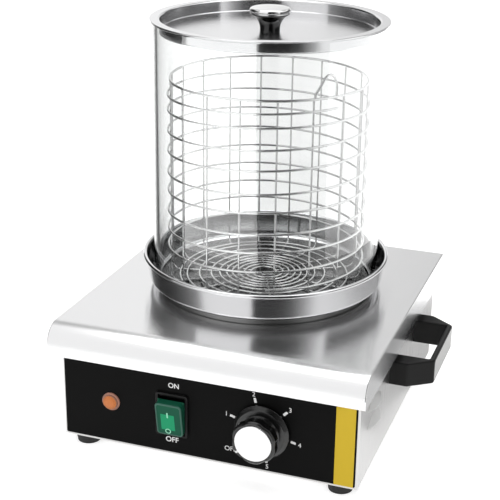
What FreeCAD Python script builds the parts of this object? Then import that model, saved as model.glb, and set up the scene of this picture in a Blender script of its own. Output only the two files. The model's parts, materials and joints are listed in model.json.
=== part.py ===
"""Countertop hot dog steamer: a sheet metal base with a heater, and a water pan,
glass tube, wire basket and lid standing on it.

Millimetres. +Z is up and the front controls face -Y. The pieces are built about the
middle of the base, and FRAME_Y then puts the origin under the middle of the whole.
"""
import FreeCAD, Part
import math
import os

V = FreeCAD.Vector

# Clearances and the one overrun of every cut
REST_GAP = 0.3
RUN_FIT = 0.05
THREAD_FIT = 0.05
HOLE_CLEAR = 0.25
WELD_GAP = 0.1
OVER = 1.0

# Base: body box, cover and feet
BODY_W = 258.8
BODY_D = 272.5
SHEET = 1.0
BEND_R = 1.5
FOOT_H = 8.2
FOOT_R = 10.0
FOOT_TOP_R = 11.5
FOOT_INSET_X = 16.7
FOOT_INSET_Y = 12.0
BASE_TOP = 112.5
COVER_DROP = 25.7
COVER_SIDE = 6.7
COVER_FRONT = 13.6
COVER_REAR = 2.1
NOSE_R = 18.0
COVER_BEND_R = 2.0
COVER_EDGE_R = 0.8
BOTTOM_FLANGE = 26.0
TOP_FLANGE = 14.0
STUD_R = 2.0
STUD_LENGTH = 9.0
STUD_INSET = 8.0
NUT_ACROSS = 7.0
NUT_H = 3.2

# Louvres pressed out of both sides
LOUVRE_INSET = 44.8
LOUVRE_LOW_Z = 49.5
LOUVRE_PITCH = 15.4
LOUVRES = 2
LOUVRE_L = 40.0
LOUVRE_H = 6.5
LOUVRE_OUT = 4.5

# Front overlay and its stripe
OVERLAY_T = 0.4
OVERLAY_SIDE = 1.9
OVERLAY_LOW = 1.8
OVERLAY_GAP_TOP = 0.8
OVERLAY_R = 1.5
STRIPE_W = 16.0
STRIPE_INSET = 1.5
STRIPE_T = 0.2

# Handles
HANDLE_Y = 12.0
HANDLE_OUT = 35.2
HANDLE_T = 4.8
HANDLE_H = 21.9
HANDLE_TOP = 78.8
HANDLE_GRIP_L = 76.9
HANDLE_SPAN = 106.6
HANDLE_OPENING = 73.6
HANDLE_STUB = 15.2
HANDLE_R = 4.0
HANDLE_INNER_R = 2.0
HANDLE_EDGE_R = 1.5
INSERT_T = 1.0
INSERT_MARGIN = 1.7
INSERT_R = 3.0
HANDLE_SCREW_R = 2.0
HANDLE_SCREW_L = 14.0
SCREW_HEAD_R = 3.8
SCREW_HEAD_H = 2.2

# Water pan, glass tube and lid, all on one upright axis
PAN_Y = 9.0
PAN_Z = 119.1
PAN_T = 0.8
PAN_RIM_R = 106.0
PAN_LEAN = 2.9
PAN_CORNER_R = 5.0
BEAD_R = 1.7
BEAD_Z = 142.6
GLASS_INSET = 7.0
GLASS_T = 4.5
GLASS_H = 228.5
GLASS_EDGE_R = 0.8
LID_OVERHANG = 1.5
LID_T = 1.0
LID_FIT = 2.0
LID_DEPTH = 10.2
LID_BEND_R = 2.0
LID_EDGE_R = 0.4

# Lid knob
KNOB_CAP_R = 17.3
KNOB_FOOT_R = 8.4
KNOB_H = 19.6
KNOB_FLARE_SHARE = 0.43
KNOB_BRIM_SHARE = 0.71
KNOB_SHOULDER_SHARE = 0.95
KNOB_CROWN_SHARE = 0.4
KNOB_FLARE_BEND_SHARE = 0.74
KNOB_BRIM_BEND_SHARE = 0.2
KNOB_SHOULDER_R = 2.4
KNOB_CROWN_R = 40.0
LID_SCREW_R = 2.5
LID_SCREW_L = 11.0
LID_SCREW_HEAD_R = 4.5
LID_SCREW_HEAD_H = 2.4

# Wire basket
UPRIGHTS = 18
UPRIGHT_R = 0.8
BASKET_ROOM = 10.55
UPRIGHT_FIRST_DEG = -66.4
UPRIGHT_BEND_R = 6.0
SPOKE_END_R = 12.0
RING_WIRE_R = 1.1
RING_Z = 300.0
HELIX_WIRE_R = 1.0
HELIX_START_DEG = -71.4
HELIX_START_Z = 140.0
HELIX_RISE = 16.5
HELIX_RISE_SHARES = (0.98, 1.02, 0.95, 1.15, 0.95, 1.20, 1.03, 1.10, 0.70)
HELIX_TAIL_DEG = 39.4
SPIRAL_WIRE_R = 0.9
SPIRAL_RADII_SHARES = (0.094, 0.171, 0.238, 0.305, 0.372, 0.433, 0.512, 0.610, 0.744, 0.878, 0.940)
SPIRAL_INSET = 1.95
LOOP_WIRE_R = 1.1
LOOP_START_DEG = -45.6
LOOP_SPAN_DEG = 13.8
LOOP_H = 17.0
LOOP_DEG_SHARES = (0.0, 0.0, 0.17, 0.47, 0.80, 1.0, 1.0)
LOOP_H_SHARES = (0.0, 0.14, 0.42, 1.0, 1.0, 0.58, 0.0)

# Heater under the pan
PLATE_INSET = 8.1
PLATE_HOLE_CLEAR = 1.0
PLATE_FLANGE = 11.0
PLATE_FLANGE_T = 4.0
PLATE_EDGE_R = 1.0
PLATE_STUD_R = 3.0
PLATE_STUD_L = 16.0
ELEMENT_INSET = 30.0
ELEMENT_WIRE_R = 4.0
ELEMENT_GAP_DEG = 50.0
ELEMENT_BEND_R = 9.0
ELEMENT_PIN_Z = 70.0
CLAMP_PAST = 13.0
CLAMP_T = 1.2
CLAMP_NUT_ACROSS = 10.0
CLAMP_NUT_H = 5.0
PAD_INSET = 5.0
PAD_T = 13.0
PAD_HOLE_R = 9.0
SHIELD_LIP = 6.0
SPACER_R = 4.0
SPACER_INSET = 7.0
SPACERS = 4
SHIELD_SCREW_R = 2.0
CUTOUT_X = -30.0
CUTOUT_R = 9.0
CUTOUT_H = 9.0
CUTOUT_PIN_R = 1.2
CUTOUT_PIN_X = 5.0
CUTOUT_PIN_L = 11.0
BULB_R = 3.0
BULB_L = 70.0
BULB_SHARE = 0.277
CAPILLARY_R = 0.8
CAPILLARY_INSET = 8.0
CAPILLARY_SLIP = 2.0
CAPILLARY_ROOM = 4.0
HEATER_ROOM = 1.0
TAP_FLOOR = 1.0

# Thermostat and its knob
DIAL_X = 49.2
DIAL_Z = 46.1
STAT_W = 42.0
STAT_H = 34.0
STAT_D = 26.0
SHAFT_R = 3.0
SHAFT_FLAT = 0.8
SHAFT_IN = 12.0
BUSH_R = 5.0
BUSH_L = 3.0
STAT_SCREW_X = 14.0
STAT_SCREW_R = 1.5
STAT_SCREW_HEAD_R = 2.6
STAT_SCREW_HEAD_H = 1.2
DIAL_GAP = 1.6
DIAL_FACE = 23.5
DIAL_SKIRT_R = 23.6
DIAL_SKIRT_TOP_R = 20.6
DIAL_SKIRT_T = 4.6
DIAL_NECK_R = 15.4
DIAL_GRIP_R = 18.8
DIAL_GRIP_T = 9.0
DIAL_FACE_R = 16.6
DIAL_BEVEL = 3.6
DIAL_EDGE_R = 1.0
DIAL_RIM_R = 0.5
DIAL_STEP = 1.0
DIAL_ROOM = 1.0
DIAL_LOBES = 6
DIAL_SCALLOP_R = 14.0
DIAL_SCALLOP_DEPTH = 1.5
CAP_R = 15.5
CAP_T = 0.8
CAP_SEAT = 0.6

# Rocker switch
SWITCH_X = -29.2
SWITCH_Z = 45.8
BEZEL_W = 28.4
BEZEL_H = 38.6
BEZEL_T = 2.5
BEZEL_R = 2.0
SWITCH_BODY_W = 27.2
SWITCH_BODY_H = 37.2
SWITCH_BODY_D = 20.0
SWITCH_POCKET_D = 11.0
ROCKER_W = 23.2
ROCKER_H = 31.0
ROCKER_FACE = 11.6
ROCKER_SIDE = 7.0
ROCKER_BACK = 3.0
ROCKER_BACK_H = 16.0
ROCKER_PIVOT_IN = 3.0
ROCKER_TILT_DEG = 10.0
ROCKER_CORNER_R = 3.0
ROCKER_EDGE_R = 1.0
ROCKER_GAP = 0.4
ROCKER_DISH_SHARE = 0.08
PIVOT_R = 1.2
BLADE_W = 6.3
BLADE_T = 0.8
BLADE_L = 8.0
BLADE_X = 6.0
BLADE_Z = 6.0

# Pilot lamp
LAMP_INSET = 44.8
LAMP_Z = 47.2
LENS_R = 8.0
LENS_OUT = 5.5
LENS_FLANGE_T = 1.2
LAMP_BODY_R = 4.8
LAMP_BODY_D = 24.0
LAMP_NUT_R = 8.5
LAMP_NUT_T = 2.0

# Rear inlet, terminals and earth
GLAND_X = -17.5
GLAND_Z = 42.0
GLAND_BORE_R = 4.0
GLAND_ACROSS = 19.0
GLAND_HEX_T = 5.0
GLAND_DOME_R = 8.4
GLAND_DOME_END_R = 7.4
GLAND_DOME_L = 8.0
GLAND_THREAD_R = 7.8
GLAND_THREAD_L = 8.0
GLAND_NUT_T = 3.5
GLAND_SEAL_T = 2.0
BLOCK_X = -17.5
BLOCK_INSET = 42.25
BLOCK_W = 45.0
BLOCK_D = 18.0
BLOCK_H = 16.0
BLOCK_POLES = 3
BLOCK_WELL_R = 2.6
BLOCK_WELL_D = 5.0
EARTH_X = 40.0
EARTH_INSET = 32.25
EARTH_R = 2.5
EARTH_L = 12.0
EARTH_ACROSS = 8.0
EARTH_NUT_H = 4.0

# Wires inside the base: radius, straight leads at both ends as shares of the base's height, and the
# places between as shares of half the body's width, half its depth and the base's height
WIRE_R = 1.2
RUN_SHARE = 0.45
LIVE_LEAD_SHARES = (0.213, 0.151)
LIVE_ROUTE_SHARES = ((-0.294, 0.220, 0.133), (-0.278, -0.206, 0.133), (-0.286, -0.499, 0.213))
NEUTRAL_LEAD_SHARES = (0.222, 0.267)
NEUTRAL_ROUTE_SHARES = ((-0.108, 0.176, 0.133), (-0.139, -0.132, 0.169))
THERMOSTAT_LEAD_SHARES = (0.142, 0.133)
THERMOSTAT_ROUTE_SHARES = ((-0.031, -0.587, 0.427), (0.170, -0.572, 0.391))
ELEMENT_LEAD_SHARES = (0.160, 0.107)
ELEMENT_ROUTE_SHARES = ((0.355, -0.308, 0.373), (0.124, -0.059, 0.409), (-0.162, 0.059, 0.460))
CUTOUT_LEAD_SHARES = (0.116, 0.071)
CUTOUT_ROUTE_SHARES = ((-0.216, -0.103, 0.498), (0.015, -0.279, 0.444), (0.144, -0.369, 0.480))
LAMP_LEAD_SHARES = (0.124, 0.116)
LAMP_ROUTE_SHARES = ((-0.556, -0.617, 0.436), (-0.402, -0.602, 0.444))
EARTH_LEAD_SHARES = (0.107, 0.107)
EARTH_ROUTE_SHARES = ((0.108, 0.470, 0.133), (0.263, 0.528, 0.107))

# Fasteners of the base
FOOT_SCREW_R = 2.0
FOOT_RECESS_R = 5.0
FOOT_RECESS_D = 4.0
FOOT_SCREW_HEAD_R = 3.6
FOOT_SCREW_HEAD_H = 2.4
FOOT_NUT_H = 3.2
FOOT_SCREW_PAST = 1.0
PLATE_SCREW_R = 1.6
PLATE_SCREW_HEAD_R = 2.8
PLATE_SCREW_HEAD_H = 1.4
PLATE_SCREW_L = 5.0
PLATE_SCREW_INSET = 9.0
PLATE_SCREWS_SIDE_SHARES = (-0.55, 0.0, 0.55)
VENT_SLOTS = 9
VENT_SLOT_W = 4.0
VENT_SLOT_L = 60.0
VENT_PITCH = 12.0
VENT_END_SHARE = 0.45

# Places worked out from the sizes above
FRONT = -BODY_D / 2
REAR = BODY_D / 2
SIDE = BODY_W / 2
PANEL = FRONT - OVERLAY_T
COVER_UNDER = BASE_TOP - SHEET
LIP_Z = BASE_TOP - COVER_DROP
COVER_FRONT_Y = FRONT - COVER_FRONT
COVER_REAR_Y = REAR + COVER_REAR
COVER_X = SIDE + COVER_SIDE
PLATE_TOP = FOOT_H + SHEET
FLANGE_TOP = PLATE_TOP + SHEET
FOOT_X = SIDE - FOOT_INSET_X
FOOT_Y = REAR - FOOT_INSET_Y
LOUVRE_Y = FRONT + LOUVRE_INSET
OVERLAY_W = BODY_W - 2 * OVERLAY_SIDE
PAN_FOOT_R = PAN_RIM_R - PAN_LEAN
GLASS_R = PAN_RIM_R - GLASS_INSET
LID_R = GLASS_R + LID_OVERHANG
LID_WALL_R = GLASS_R - GLASS_T - LID_FIT
UPRIGHT_RING_R = GLASS_R - GLASS_T - BASKET_ROOM
SPIRAL_OUTER_R = UPRIGHT_RING_R - SPIRAL_INSET
PLATE_R = PAN_FOOT_R - PLATE_INSET
PLATE_FLANGE_R = PLATE_R + PLATE_FLANGE
SHIELD_R = PLATE_FLANGE_R
ELEMENT_R = PLATE_R - ELEMENT_INSET
CLAMP_R = ELEMENT_R + CLAMP_PAST
PAD_R = PLATE_R - PAD_INSET
SPACER_RING_R = PLATE_FLANGE_R - SPACER_INSET
BULB_X = BULB_SHARE * ELEMENT_R
LAMP_X = LAMP_INSET - SIDE
BLOCK_Y = REAR - BLOCK_INSET
EARTH_Y = REAR - EARTH_INSET
PAN_FLOOR = PAN_Z + PAN_T
GLASS_Z = PAN_FLOOR + REST_GAP
GLASS_TOP = GLASS_Z + GLASS_H
LID_FLOOR = GLASS_TOP - LID_DEPTH
KNOB_Z = LID_FLOOR + LID_T
HEATER_UNDER = COVER_UNDER - PLATE_FLANGE_T
ELEMENT_Z = HEATER_UNDER - REST_GAP - ELEMENT_WIRE_R
CLAMP_TOP = ELEMENT_Z - ELEMENT_WIRE_R - REST_GAP
PAD_TOP = CLAMP_TOP - CLAMP_T - REST_GAP
SHIELD_TOP = PAD_TOP - PAD_T
SPOKE_Z = PAN_FLOOR + REST_GAP + UPRIGHT_R
SPIRAL_Z = SPOKE_Z + UPRIGHT_R + WELD_GAP + SPIRAL_WIRE_R
HELIX_R = UPRIGHT_RING_R + UPRIGHT_R + WELD_GAP + HELIX_WIRE_R
DIAL_FRONT = PANEL - DIAL_FACE
GLAND_END = REAR + GLAND_HEX_T + GLAND_DOME_L
STAT_BACK = FRONT + SHEET + STAT_D
SWITCH_BACK = FRONT + SWITCH_BODY_D
LAMP_BACK = FRONT + LAMP_BODY_D
FRAME_Y = -(DIAL_FRONT + GLAND_END) / 2
NOSE_BEND_Y = COVER_FRONT_Y + NOSE_R
NOSE_REACH = max(NOSE_BEND_Y - FRONT, 0)
NOSE_FALL = NOSE_R - SHEET - math.sqrt((NOSE_R - SHEET) ** 2 - NOSE_REACH ** 2)
NOSE_ROOM = max(SHEET, NOSE_FALL + REST_GAP)


# Plain shapes

def about(middle, size):
    """The two limits of a size laid out evenly about a middle."""
    return (middle - size / 2, middle + size / 2)


def block(x, y, z):
    """A box between two limits on each axis."""
    return Part.makeBox(x[1] - x[0], y[1] - y[0], z[1] - z[0], V(x[0], y[0], z[0]))


def post(radius, z, x=0, y=0):
    """An upright cylinder between two heights."""
    return Part.makeCylinder(radius, z[1] - z[0], V(x, y, z[0]))


def mirrored(span, side):
    """A span on the right side, or its mirror image on the left."""
    return span if side > 0 else (-span[1], -span[0])


def bar_y(radius, y, x, z):
    """A cylinder along Y between two places."""
    return Part.makeCylinder(radius, y[1] - y[0], V(x, y[0], z), V(0, 1, 0))


def bar_x(radius, x, y, z):
    """A cylinder along X between two places."""
    return Part.makeCylinder(radius, x[1] - x[0], V(x[0], y, z), V(1, 0, 0))


def rounded_wire(corners, closed):
    """Straight runs through 3-D corners, joined by tangent arcs of the given radii."""
    count = len(corners)
    edges = []
    last = None
    first = None
    for i, (point, radius) in enumerate(corners):
        inner = closed or 0 < i < count - 1
        before = corners[i - 1][0]
        after = corners[(i + 1) % count][0]
        if inner and radius > 0:
            to_before = (before - point).normalize()
            to_after = (after - point).normalize()
            half = to_before.getAngle(to_after) / 2
            reach = radius / math.tan(half)
            start = point + to_before * reach
            end = point + to_after * reach
            weight = math.sin(half)
            middle = ((start + end) / 2 + point * weight) / (1 + weight)
            arc = Part.Arc(start, middle, end).toShape()
        else:
            start = end = point
            arc = None
        if last is not None and last.distanceToPoint(start) > 0:
            edges.append(Part.LineSegment(last, start).toShape())
        if arc:
            edges.append(arc)
        if first is None:
            first = start
        last = end
    if closed:
        edges.append(Part.LineSegment(last, first).toShape())
    return Part.Wire(edges)


def plate_yz(corners, x):
    """A flat plate across X from a rounded outline of (y, z, radius)."""
    wire = rounded_wire([(V(x[0], y, z), r) for y, z, r in corners], True)
    return Part.Face(wire).extrude(V(x[1] - x[0], 0, 0))


def plate_xz(corners, y):
    """A flat plate across Y from a rounded outline of (x, z, radius)."""
    wire = rounded_wire([(V(x, y[0], z), r) for x, z, r in corners], True)
    return Part.Face(wire).extrude(V(0, y[1] - y[0], 0))


def plate_xy(corners, z):
    """A flat plate across Z from a rounded outline of (x, y, radius)."""
    wire = rounded_wire([(V(x, y, z[0]), r) for x, y, r in corners], True)
    return Part.Face(wire).extrude(V(0, 0, z[1] - z[0]))


def rectangle(first, second, radius):
    """The four rounded corners of a rectangle between two pairs of limits."""
    return [(first[0], second[0], radius), (first[1], second[0], radius),
            (first[1], second[1], radius), (first[0], second[1], radius)]


def turned(corners, y=PAN_Y):
    """A solid turned about the upright axis from a rounded outline of (radius, z, corner radius)."""
    wire = rounded_wire([(V(r, y, z), c) for r, z, c in corners], True)
    return Part.Face(wire).revolve(V(0, y, 0), V(0, 0, 1), 360)


def turned_y(corners, x, z):
    """A solid turned about an axis along Y from a rounded outline of (radius, y, corner radius)."""
    wire = rounded_wire([(V(x + r, y, z), c) for r, y, c in corners], True)
    return Part.Face(wire).revolve(V(x, 0, z), V(0, 1, 0), 360)


def hexagon_corners(across):
    """The closed outline of a hexagon, by its width across flats, about its middle."""
    reach = across / 2 / math.cos(math.pi / 6)
    turns = [math.pi / 3 * k for k in range(7)]
    return [(reach * math.cos(turn), reach * math.sin(turn)) for turn in turns]


def hexagon(across, z, x, y):
    """An upright six-sided prism."""
    points = [V(x + a, y + b, z[0]) for a, b in hexagon_corners(across)]
    return Part.Face(Part.makePolygon(points)).extrude(V(0, 0, z[1] - z[0]))


def hexagon_y(across, y, x, z):
    """A six-sided prism along Y."""
    points = [V(x + a, y[0], z + b) for a, b in hexagon_corners(across)]
    return Part.Face(Part.makePolygon(points)).extrude(V(0, y[1] - y[0], 0))


def one_solid(shapes):
    """Shapes that touch or overlap, joined into one clean solid."""
    joined = shapes[0].multiFuse(shapes[1:]).removeSplitter()
    return joined.Solids[0] if len(joined.Solids) == 1 else joined


def swept(path, radius):
    """A round tube swept along a wire of lines and arcs."""
    first = path.OrderedEdges[0]
    start = first.valueAt(first.FirstParameter)
    heading = first.tangentAt(first.FirstParameter)
    if start.distanceToPoint(path.OrderedVertexes[0].Point) > radius:
        start = first.valueAt(first.LastParameter)
        heading = first.tangentAt(first.LastParameter)
    section = Part.Wire(Part.makeCircle(radius, start, heading))
    return path.makePipeShell([section], True, False)


def wire_run(points, radius=WIRE_R):
    """A wire laid through chosen points, with arcs as wide as its runs allow."""
    corners = [(points[0], 0)]
    for i in range(1, len(points) - 1):
        before = points[i] - points[i - 1]
        after = points[i + 1] - points[i]
        shorter = min(before.Length, after.Length)
        corners.append((points[i], RUN_SHARE * shorter / math.tan(before.getAngle(after) / 2)))
    corners.append((points[-1], 0))
    path = rounded_wire(corners, False)
    tube = swept(path, radius)
    bends = [r for _, r in corners[1:-1]]
    share = tube.Volume / (math.pi * radius ** 2 * path.Length)
    print("wire: length %.0f, tightest bend %.1f, volume share %.4f" % (path.Length, min(bends), share))
    return tube


def on_axis(radius, degrees, z):
    """A point at a radius and angle about the upright axis of the pan and basket."""
    angle = math.radians(degrees)
    return V(radius * math.cos(angle), PAN_Y + radius * math.sin(angle), z)


# Base sheet metal

def foot_places():
    """The centres of the four feet."""
    return [(sx * FOOT_X, sy * FOOT_Y) for sx in (-1, 1) for sy in (-1, 1)]


def plate_screw_places():
    """Where the bottom plate is screwed to the body's flange."""
    x_edge = SIDE - SHEET - PLATE_SCREW_INSET
    y_edge = REAR - SHEET - PLATE_SCREW_INSET
    sides = [(s * x_edge, share * BODY_D / 2) for s in (-1, 1) for share in PLATE_SCREWS_SIDE_SHARES]
    ends = [(0, s * y_edge) for s in (-1, 1)]
    return sides + ends


def stud_places():
    """Where the cover's studs pass the body's top flange."""
    x_edge = SIDE - SHEET - STUD_INSET
    y_edge = REAR - SHEET - STUD_INSET
    return [(sx * x_edge, sy * y_edge) for sx in (-1, 1) for sy in (-1, 1)]


def handle_screw_places():
    """Heights and places along Y of the screws that hold each handle."""
    offset = (HANDLE_SPAN + HANDLE_OPENING) / 4
    return [(HANDLE_Y - offset, HANDLE_TOP - HANDLE_H / 2), (HANDLE_Y + offset, HANDLE_TOP - HANDLE_H / 2)]


def louvre_places():
    """The middles of the louvres' slots on one side."""
    return [(LOUVRE_Y, LOUVRE_LOW_Z + k * LOUVRE_PITCH) for k in range(LOUVRES)]


def louvre_hood(side, y, z, wall):
    """The bulge over a louvre's slot, or the hollow behind it when it is drawn in by a wall."""
    low_r = (LOUVRE_L ** 2 / 4 + LOUVRE_OUT ** 2) / (2 * LOUVRE_OUT)
    middle = V(side * (SIDE + LOUVRE_OUT - low_r), y, z)
    cone = Part.makeCone(low_r - wall, low_r - LOUVRE_OUT - wall, LOUVRE_H, middle)
    room = block(mirrored((SIDE - SHEET - (OVER if wall else 0), SIDE + LOUVRE_OUT), side),
                 about(y, LOUVRE_L), (z, z + LOUVRE_H))
    return cone.common(room)


def make_body_shell():
    """Four walls in one wrap, with in-turned flanges and the openings of the controls."""
    outer = plate_xy(rectangle((-SIDE, SIDE), (FRONT, REAR), BEND_R), (FOOT_H, COVER_UNDER))
    inner_r = BEND_R - SHEET
    hollow = plate_xy(rectangle((SHEET - SIDE, SIDE - SHEET), (FRONT + SHEET, REAR - SHEET), inner_r),
                      (FOOT_H - OVER, COVER_UNDER + OVER))
    walls = outer.cut(hollow)
    flange_x = (SHEET - SIDE, SIDE - SHEET)
    flange_y = (FRONT + SHEET, REAR - SHEET)
    low = plate_xy(rectangle(flange_x, flange_y, inner_r), (PLATE_TOP, FLANGE_TOP))
    low = low.cut(block(about(0, BODY_W - 2 * BOTTOM_FLANGE), about(0, BODY_D - 2 * BOTTOM_FLANGE),
                        (PLATE_TOP - OVER, FLANGE_TOP + OVER)))
    high = plate_xy(rectangle(flange_x, flange_y, inner_r), (COVER_UNDER - SHEET, COVER_UNDER))
    high = high.cut(block(about(0, BODY_W - 2 * TOP_FLANGE), about(0, BODY_D - 2 * TOP_FLANGE),
                          (COVER_UNDER - SHEET - OVER, COVER_UNDER + OVER)))
    parts = [walls, low, high]
    hollows = []
    for side in (-1, 1):
        for y, z in louvre_places():
            parts.append(louvre_hood(side, y, z, 0))
            hollows.append(louvre_hood(side, y, z, SHEET))
    shell = one_solid(parts)
    cuts = hollows
    for side in (-1, 1):
        for y, z in handle_screw_places():
            x = mirrored((SIDE - SHEET - OVER, SIDE + OVER), side)
            cuts.append(bar_x(HANDLE_SCREW_R + HOLE_CLEAR, x, y, z))
    for x, y in stud_places():
        cuts.append(post(STUD_R + HOLE_CLEAR, (COVER_UNDER - SHEET - OVER, COVER_UNDER + OVER), x, y))
    for x, y in foot_places():
        cuts.append(post(FOOT_SCREW_R + HOLE_CLEAR, (PLATE_TOP - OVER, FLANGE_TOP + OVER), x, y))
    for x, y in plate_screw_places():
        cuts.append(post(PLATE_SCREW_R + THREAD_FIT, (PLATE_TOP - OVER, FLANGE_TOP + OVER), x, y))
    cuts.append(block((-SIDE - OVER, SIDE + OVER), (FRONT - OVER, max(NOSE_BEND_Y, FRONT)),
                      (COVER_UNDER - NOSE_ROOM, COVER_UNDER + OVER)))
    through = (FRONT - OVER, FRONT + SHEET + OVER)
    cuts.extend(panel_cuts(through))
    cuts.append(bar_y(GLAND_THREAD_R + HOLE_CLEAR, (REAR - SHEET - OVER, REAR + OVER), GLAND_X, GLAND_Z))
    return shell.cut(Part.makeCompound(cuts))


def panel_cuts(through):
    """The holes of the switch, lamp and thermostat through the front."""
    switch = plate_xz(rectangle(about(SWITCH_X, SWITCH_BODY_W + 2 * HOLE_CLEAR),
                                about(SWITCH_Z, SWITCH_BODY_H + 2 * HOLE_CLEAR), BEZEL_R / 2), through)
    lamp = bar_y(LAMP_BODY_R + HOLE_CLEAR, through, LAMP_X, LAMP_Z)
    shaft = bar_y(BUSH_R + HOLE_CLEAR, through, DIAL_X, DIAL_Z)
    screws = [bar_y(STAT_SCREW_R + HOLE_CLEAR, through, DIAL_X + s * STAT_SCREW_X, DIAL_Z) for s in (-1, 1)]
    return [switch, lamp, shaft] + screws


def make_bottom_plate():
    """The plate that closes the base from below, with rows of slots for air."""
    x = about(0, BODY_W - 2 * SHEET - 2 * REST_GAP)
    y = about(0, BODY_D - 2 * SHEET - 2 * REST_GAP)
    plate = plate_xy(rectangle(x, y, BEND_R), (FOOT_H, PLATE_TOP))
    z = (FOOT_H - OVER, PLATE_TOP + OVER)
    cuts = [post(FOOT_SCREW_R + HOLE_CLEAR, z, px, py) for px, py in foot_places()]
    cuts += [post(PLATE_SCREW_R + HOLE_CLEAR, z, px, py) for px, py in plate_screw_places()]
    for k in range(VENT_SLOTS):
        middle = (k - (VENT_SLOTS - 1) / 2) * VENT_PITCH
        slot = rectangle(about(middle, VENT_SLOT_W), about(PAN_Y, VENT_SLOT_L), VENT_SLOT_W * VENT_END_SHARE)
        cuts.append(plate_xy(slot, z))
    cuts.append(post(EARTH_R + HOLE_CLEAR, z, EARTH_X, EARTH_Y))
    return plate.cut(Part.makeCompound(cuts))


def make_bottom_screws():
    """Self-tapping screws of the bottom plate."""
    screws = []
    for x, y in plate_screw_places():
        head = post(PLATE_SCREW_HEAD_R, (FOOT_H - PLATE_SCREW_HEAD_H, FOOT_H), x, y)
        shank = post(PLATE_SCREW_R, (FOOT_H, FOOT_H + PLATE_SCREW_L), x, y)
        screws.append(one_solid([head, shank]))
    return Part.makeCompound(screws)


def make_top_cover():
    """The cover: flat top with a rounded nose, side and rear flanges, and welded studs."""
    t = SHEET
    sheet = plate_yz([
        (COVER_REAR_Y, LIP_Z, 0), (COVER_REAR_Y, BASE_TOP, COVER_BEND_R), (COVER_FRONT_Y, BASE_TOP, NOSE_R),
        (COVER_FRONT_Y, LIP_Z, 0), (FRONT - OVERLAY_T - REST_GAP, LIP_Z, 0),
        (FRONT - OVERLAY_T - REST_GAP, LIP_Z + t, 0), (COVER_FRONT_Y + t, LIP_Z + t, 0),
        (COVER_FRONT_Y + t, COVER_UNDER, NOSE_R - t), (COVER_REAR_Y - t, COVER_UNDER, COVER_BEND_R - t),
        (COVER_REAR_Y - t, LIP_Z, 0)], (-COVER_X, COVER_X))
    ends = []
    for x in ((-COVER_X, t - COVER_X), (COVER_X - t, COVER_X)):
        ends.append(plate_yz([(COVER_REAR_Y, LIP_Z, 0), (COVER_REAR_Y, BASE_TOP, COVER_BEND_R),
                              (COVER_FRONT_Y, BASE_TOP, NOSE_R), (COVER_FRONT_Y, LIP_Z, 0)], x))
    shell = one_solid([sheet] + ends)
    rim = [e for e in shell.Edges if on_cover_edge(e)]
    shell = shell.makeFillet(COVER_EDGE_R, rim)
    shell = shell.cut(post(PLATE_R + PLATE_HOLE_CLEAR, (COVER_UNDER - OVER, BASE_TOP + OVER), 0, PAN_Y))
    studs = [post(STUD_R, (COVER_UNDER - STUD_LENGTH, COVER_UNDER), x, y) for x, y in stud_places()]
    return one_solid([shell] + studs)


def on_cover_edge(edge):
    """Whether an edge lies along the outer arris between the cover's top or nose and a side."""
    points = [edge.valueAt(edge.FirstParameter), edge.valueAt(edge.LastParameter)]
    tiny = COVER_EDGE_R / 100
    at_side = all(abs(abs(p.x) - COVER_X) < tiny for p in points)
    top_run = all(abs(p.z - BASE_TOP) < tiny for p in points)
    front_run = all(abs(p.y - COVER_FRONT_Y) < tiny for p in points)
    high = min(p.z for p in points) > LIP_Z + COVER_EDGE_R
    nose = high and min(p.y for p in points) < COVER_FRONT_Y + NOSE_R / 2 and edge.Length > NOSE_R
    nose = nose and max(p.y for p in points) < COVER_FRONT_Y + NOSE_R + tiny
    return at_side and (top_run or front_run or nose)


def make_cover_nuts():
    """Nuts on the cover's studs, under the body's top flange."""
    z = (COVER_UNDER - SHEET - NUT_H, COVER_UNDER - SHEET)
    bore = (z[0] - OVER, z[1] + OVER)
    return Part.makeCompound([hexagon(NUT_ACROSS, z, x, y).cut(post(STUD_R + THREAD_FIT, bore, x, y))
                              for x, y in stud_places()])


def make_front_overlay():
    """The dark facing of the front, with the openings of the controls."""
    z = (FOOT_H + OVERLAY_LOW, LIP_Z - OVERLAY_GAP_TOP)
    sheet = plate_xz(rectangle(about(0, OVERLAY_W), z, OVERLAY_R), (PANEL, FRONT))
    return sheet.cut(Part.makeCompound(panel_cuts((PANEL - OVER, FRONT + OVER))))


def make_overlay_stripe():
    """The coloured upright stripe at the right end of the facing."""
    right = OVERLAY_W / 2 - STRIPE_INSET
    z = (FOOT_H + OVERLAY_LOW, LIP_Z - OVERLAY_GAP_TOP)
    return block((right - STRIPE_W, right), (PANEL - STRIPE_T, PANEL), z)


# Handles

def handle_outline(side):
    """The plan outline of one handle: an outer trapezium round a square-cornered opening."""
    half = HANDLE_SPAN / 2
    grip = HANDLE_GRIP_L / 2
    opening = HANDLE_OPENING / 2
    out = SIDE + HANDLE_OUT
    stub = SIDE + HANDLE_STUB
    inner = out - HANDLE_T
    points = [(SIDE, half, 0), (stub, half, HANDLE_R), (out, grip, HANDLE_R), (out, -grip, HANDLE_R),
              (stub, -half, HANDLE_R), (SIDE, -half, 0), (SIDE, -opening, 0),
              (inner, -opening, HANDLE_INNER_R), (inner, opening, HANDLE_INNER_R), (SIDE, opening, 0)]
    return [(side * x, HANDLE_Y + y, r) for x, y, r in points]


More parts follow.
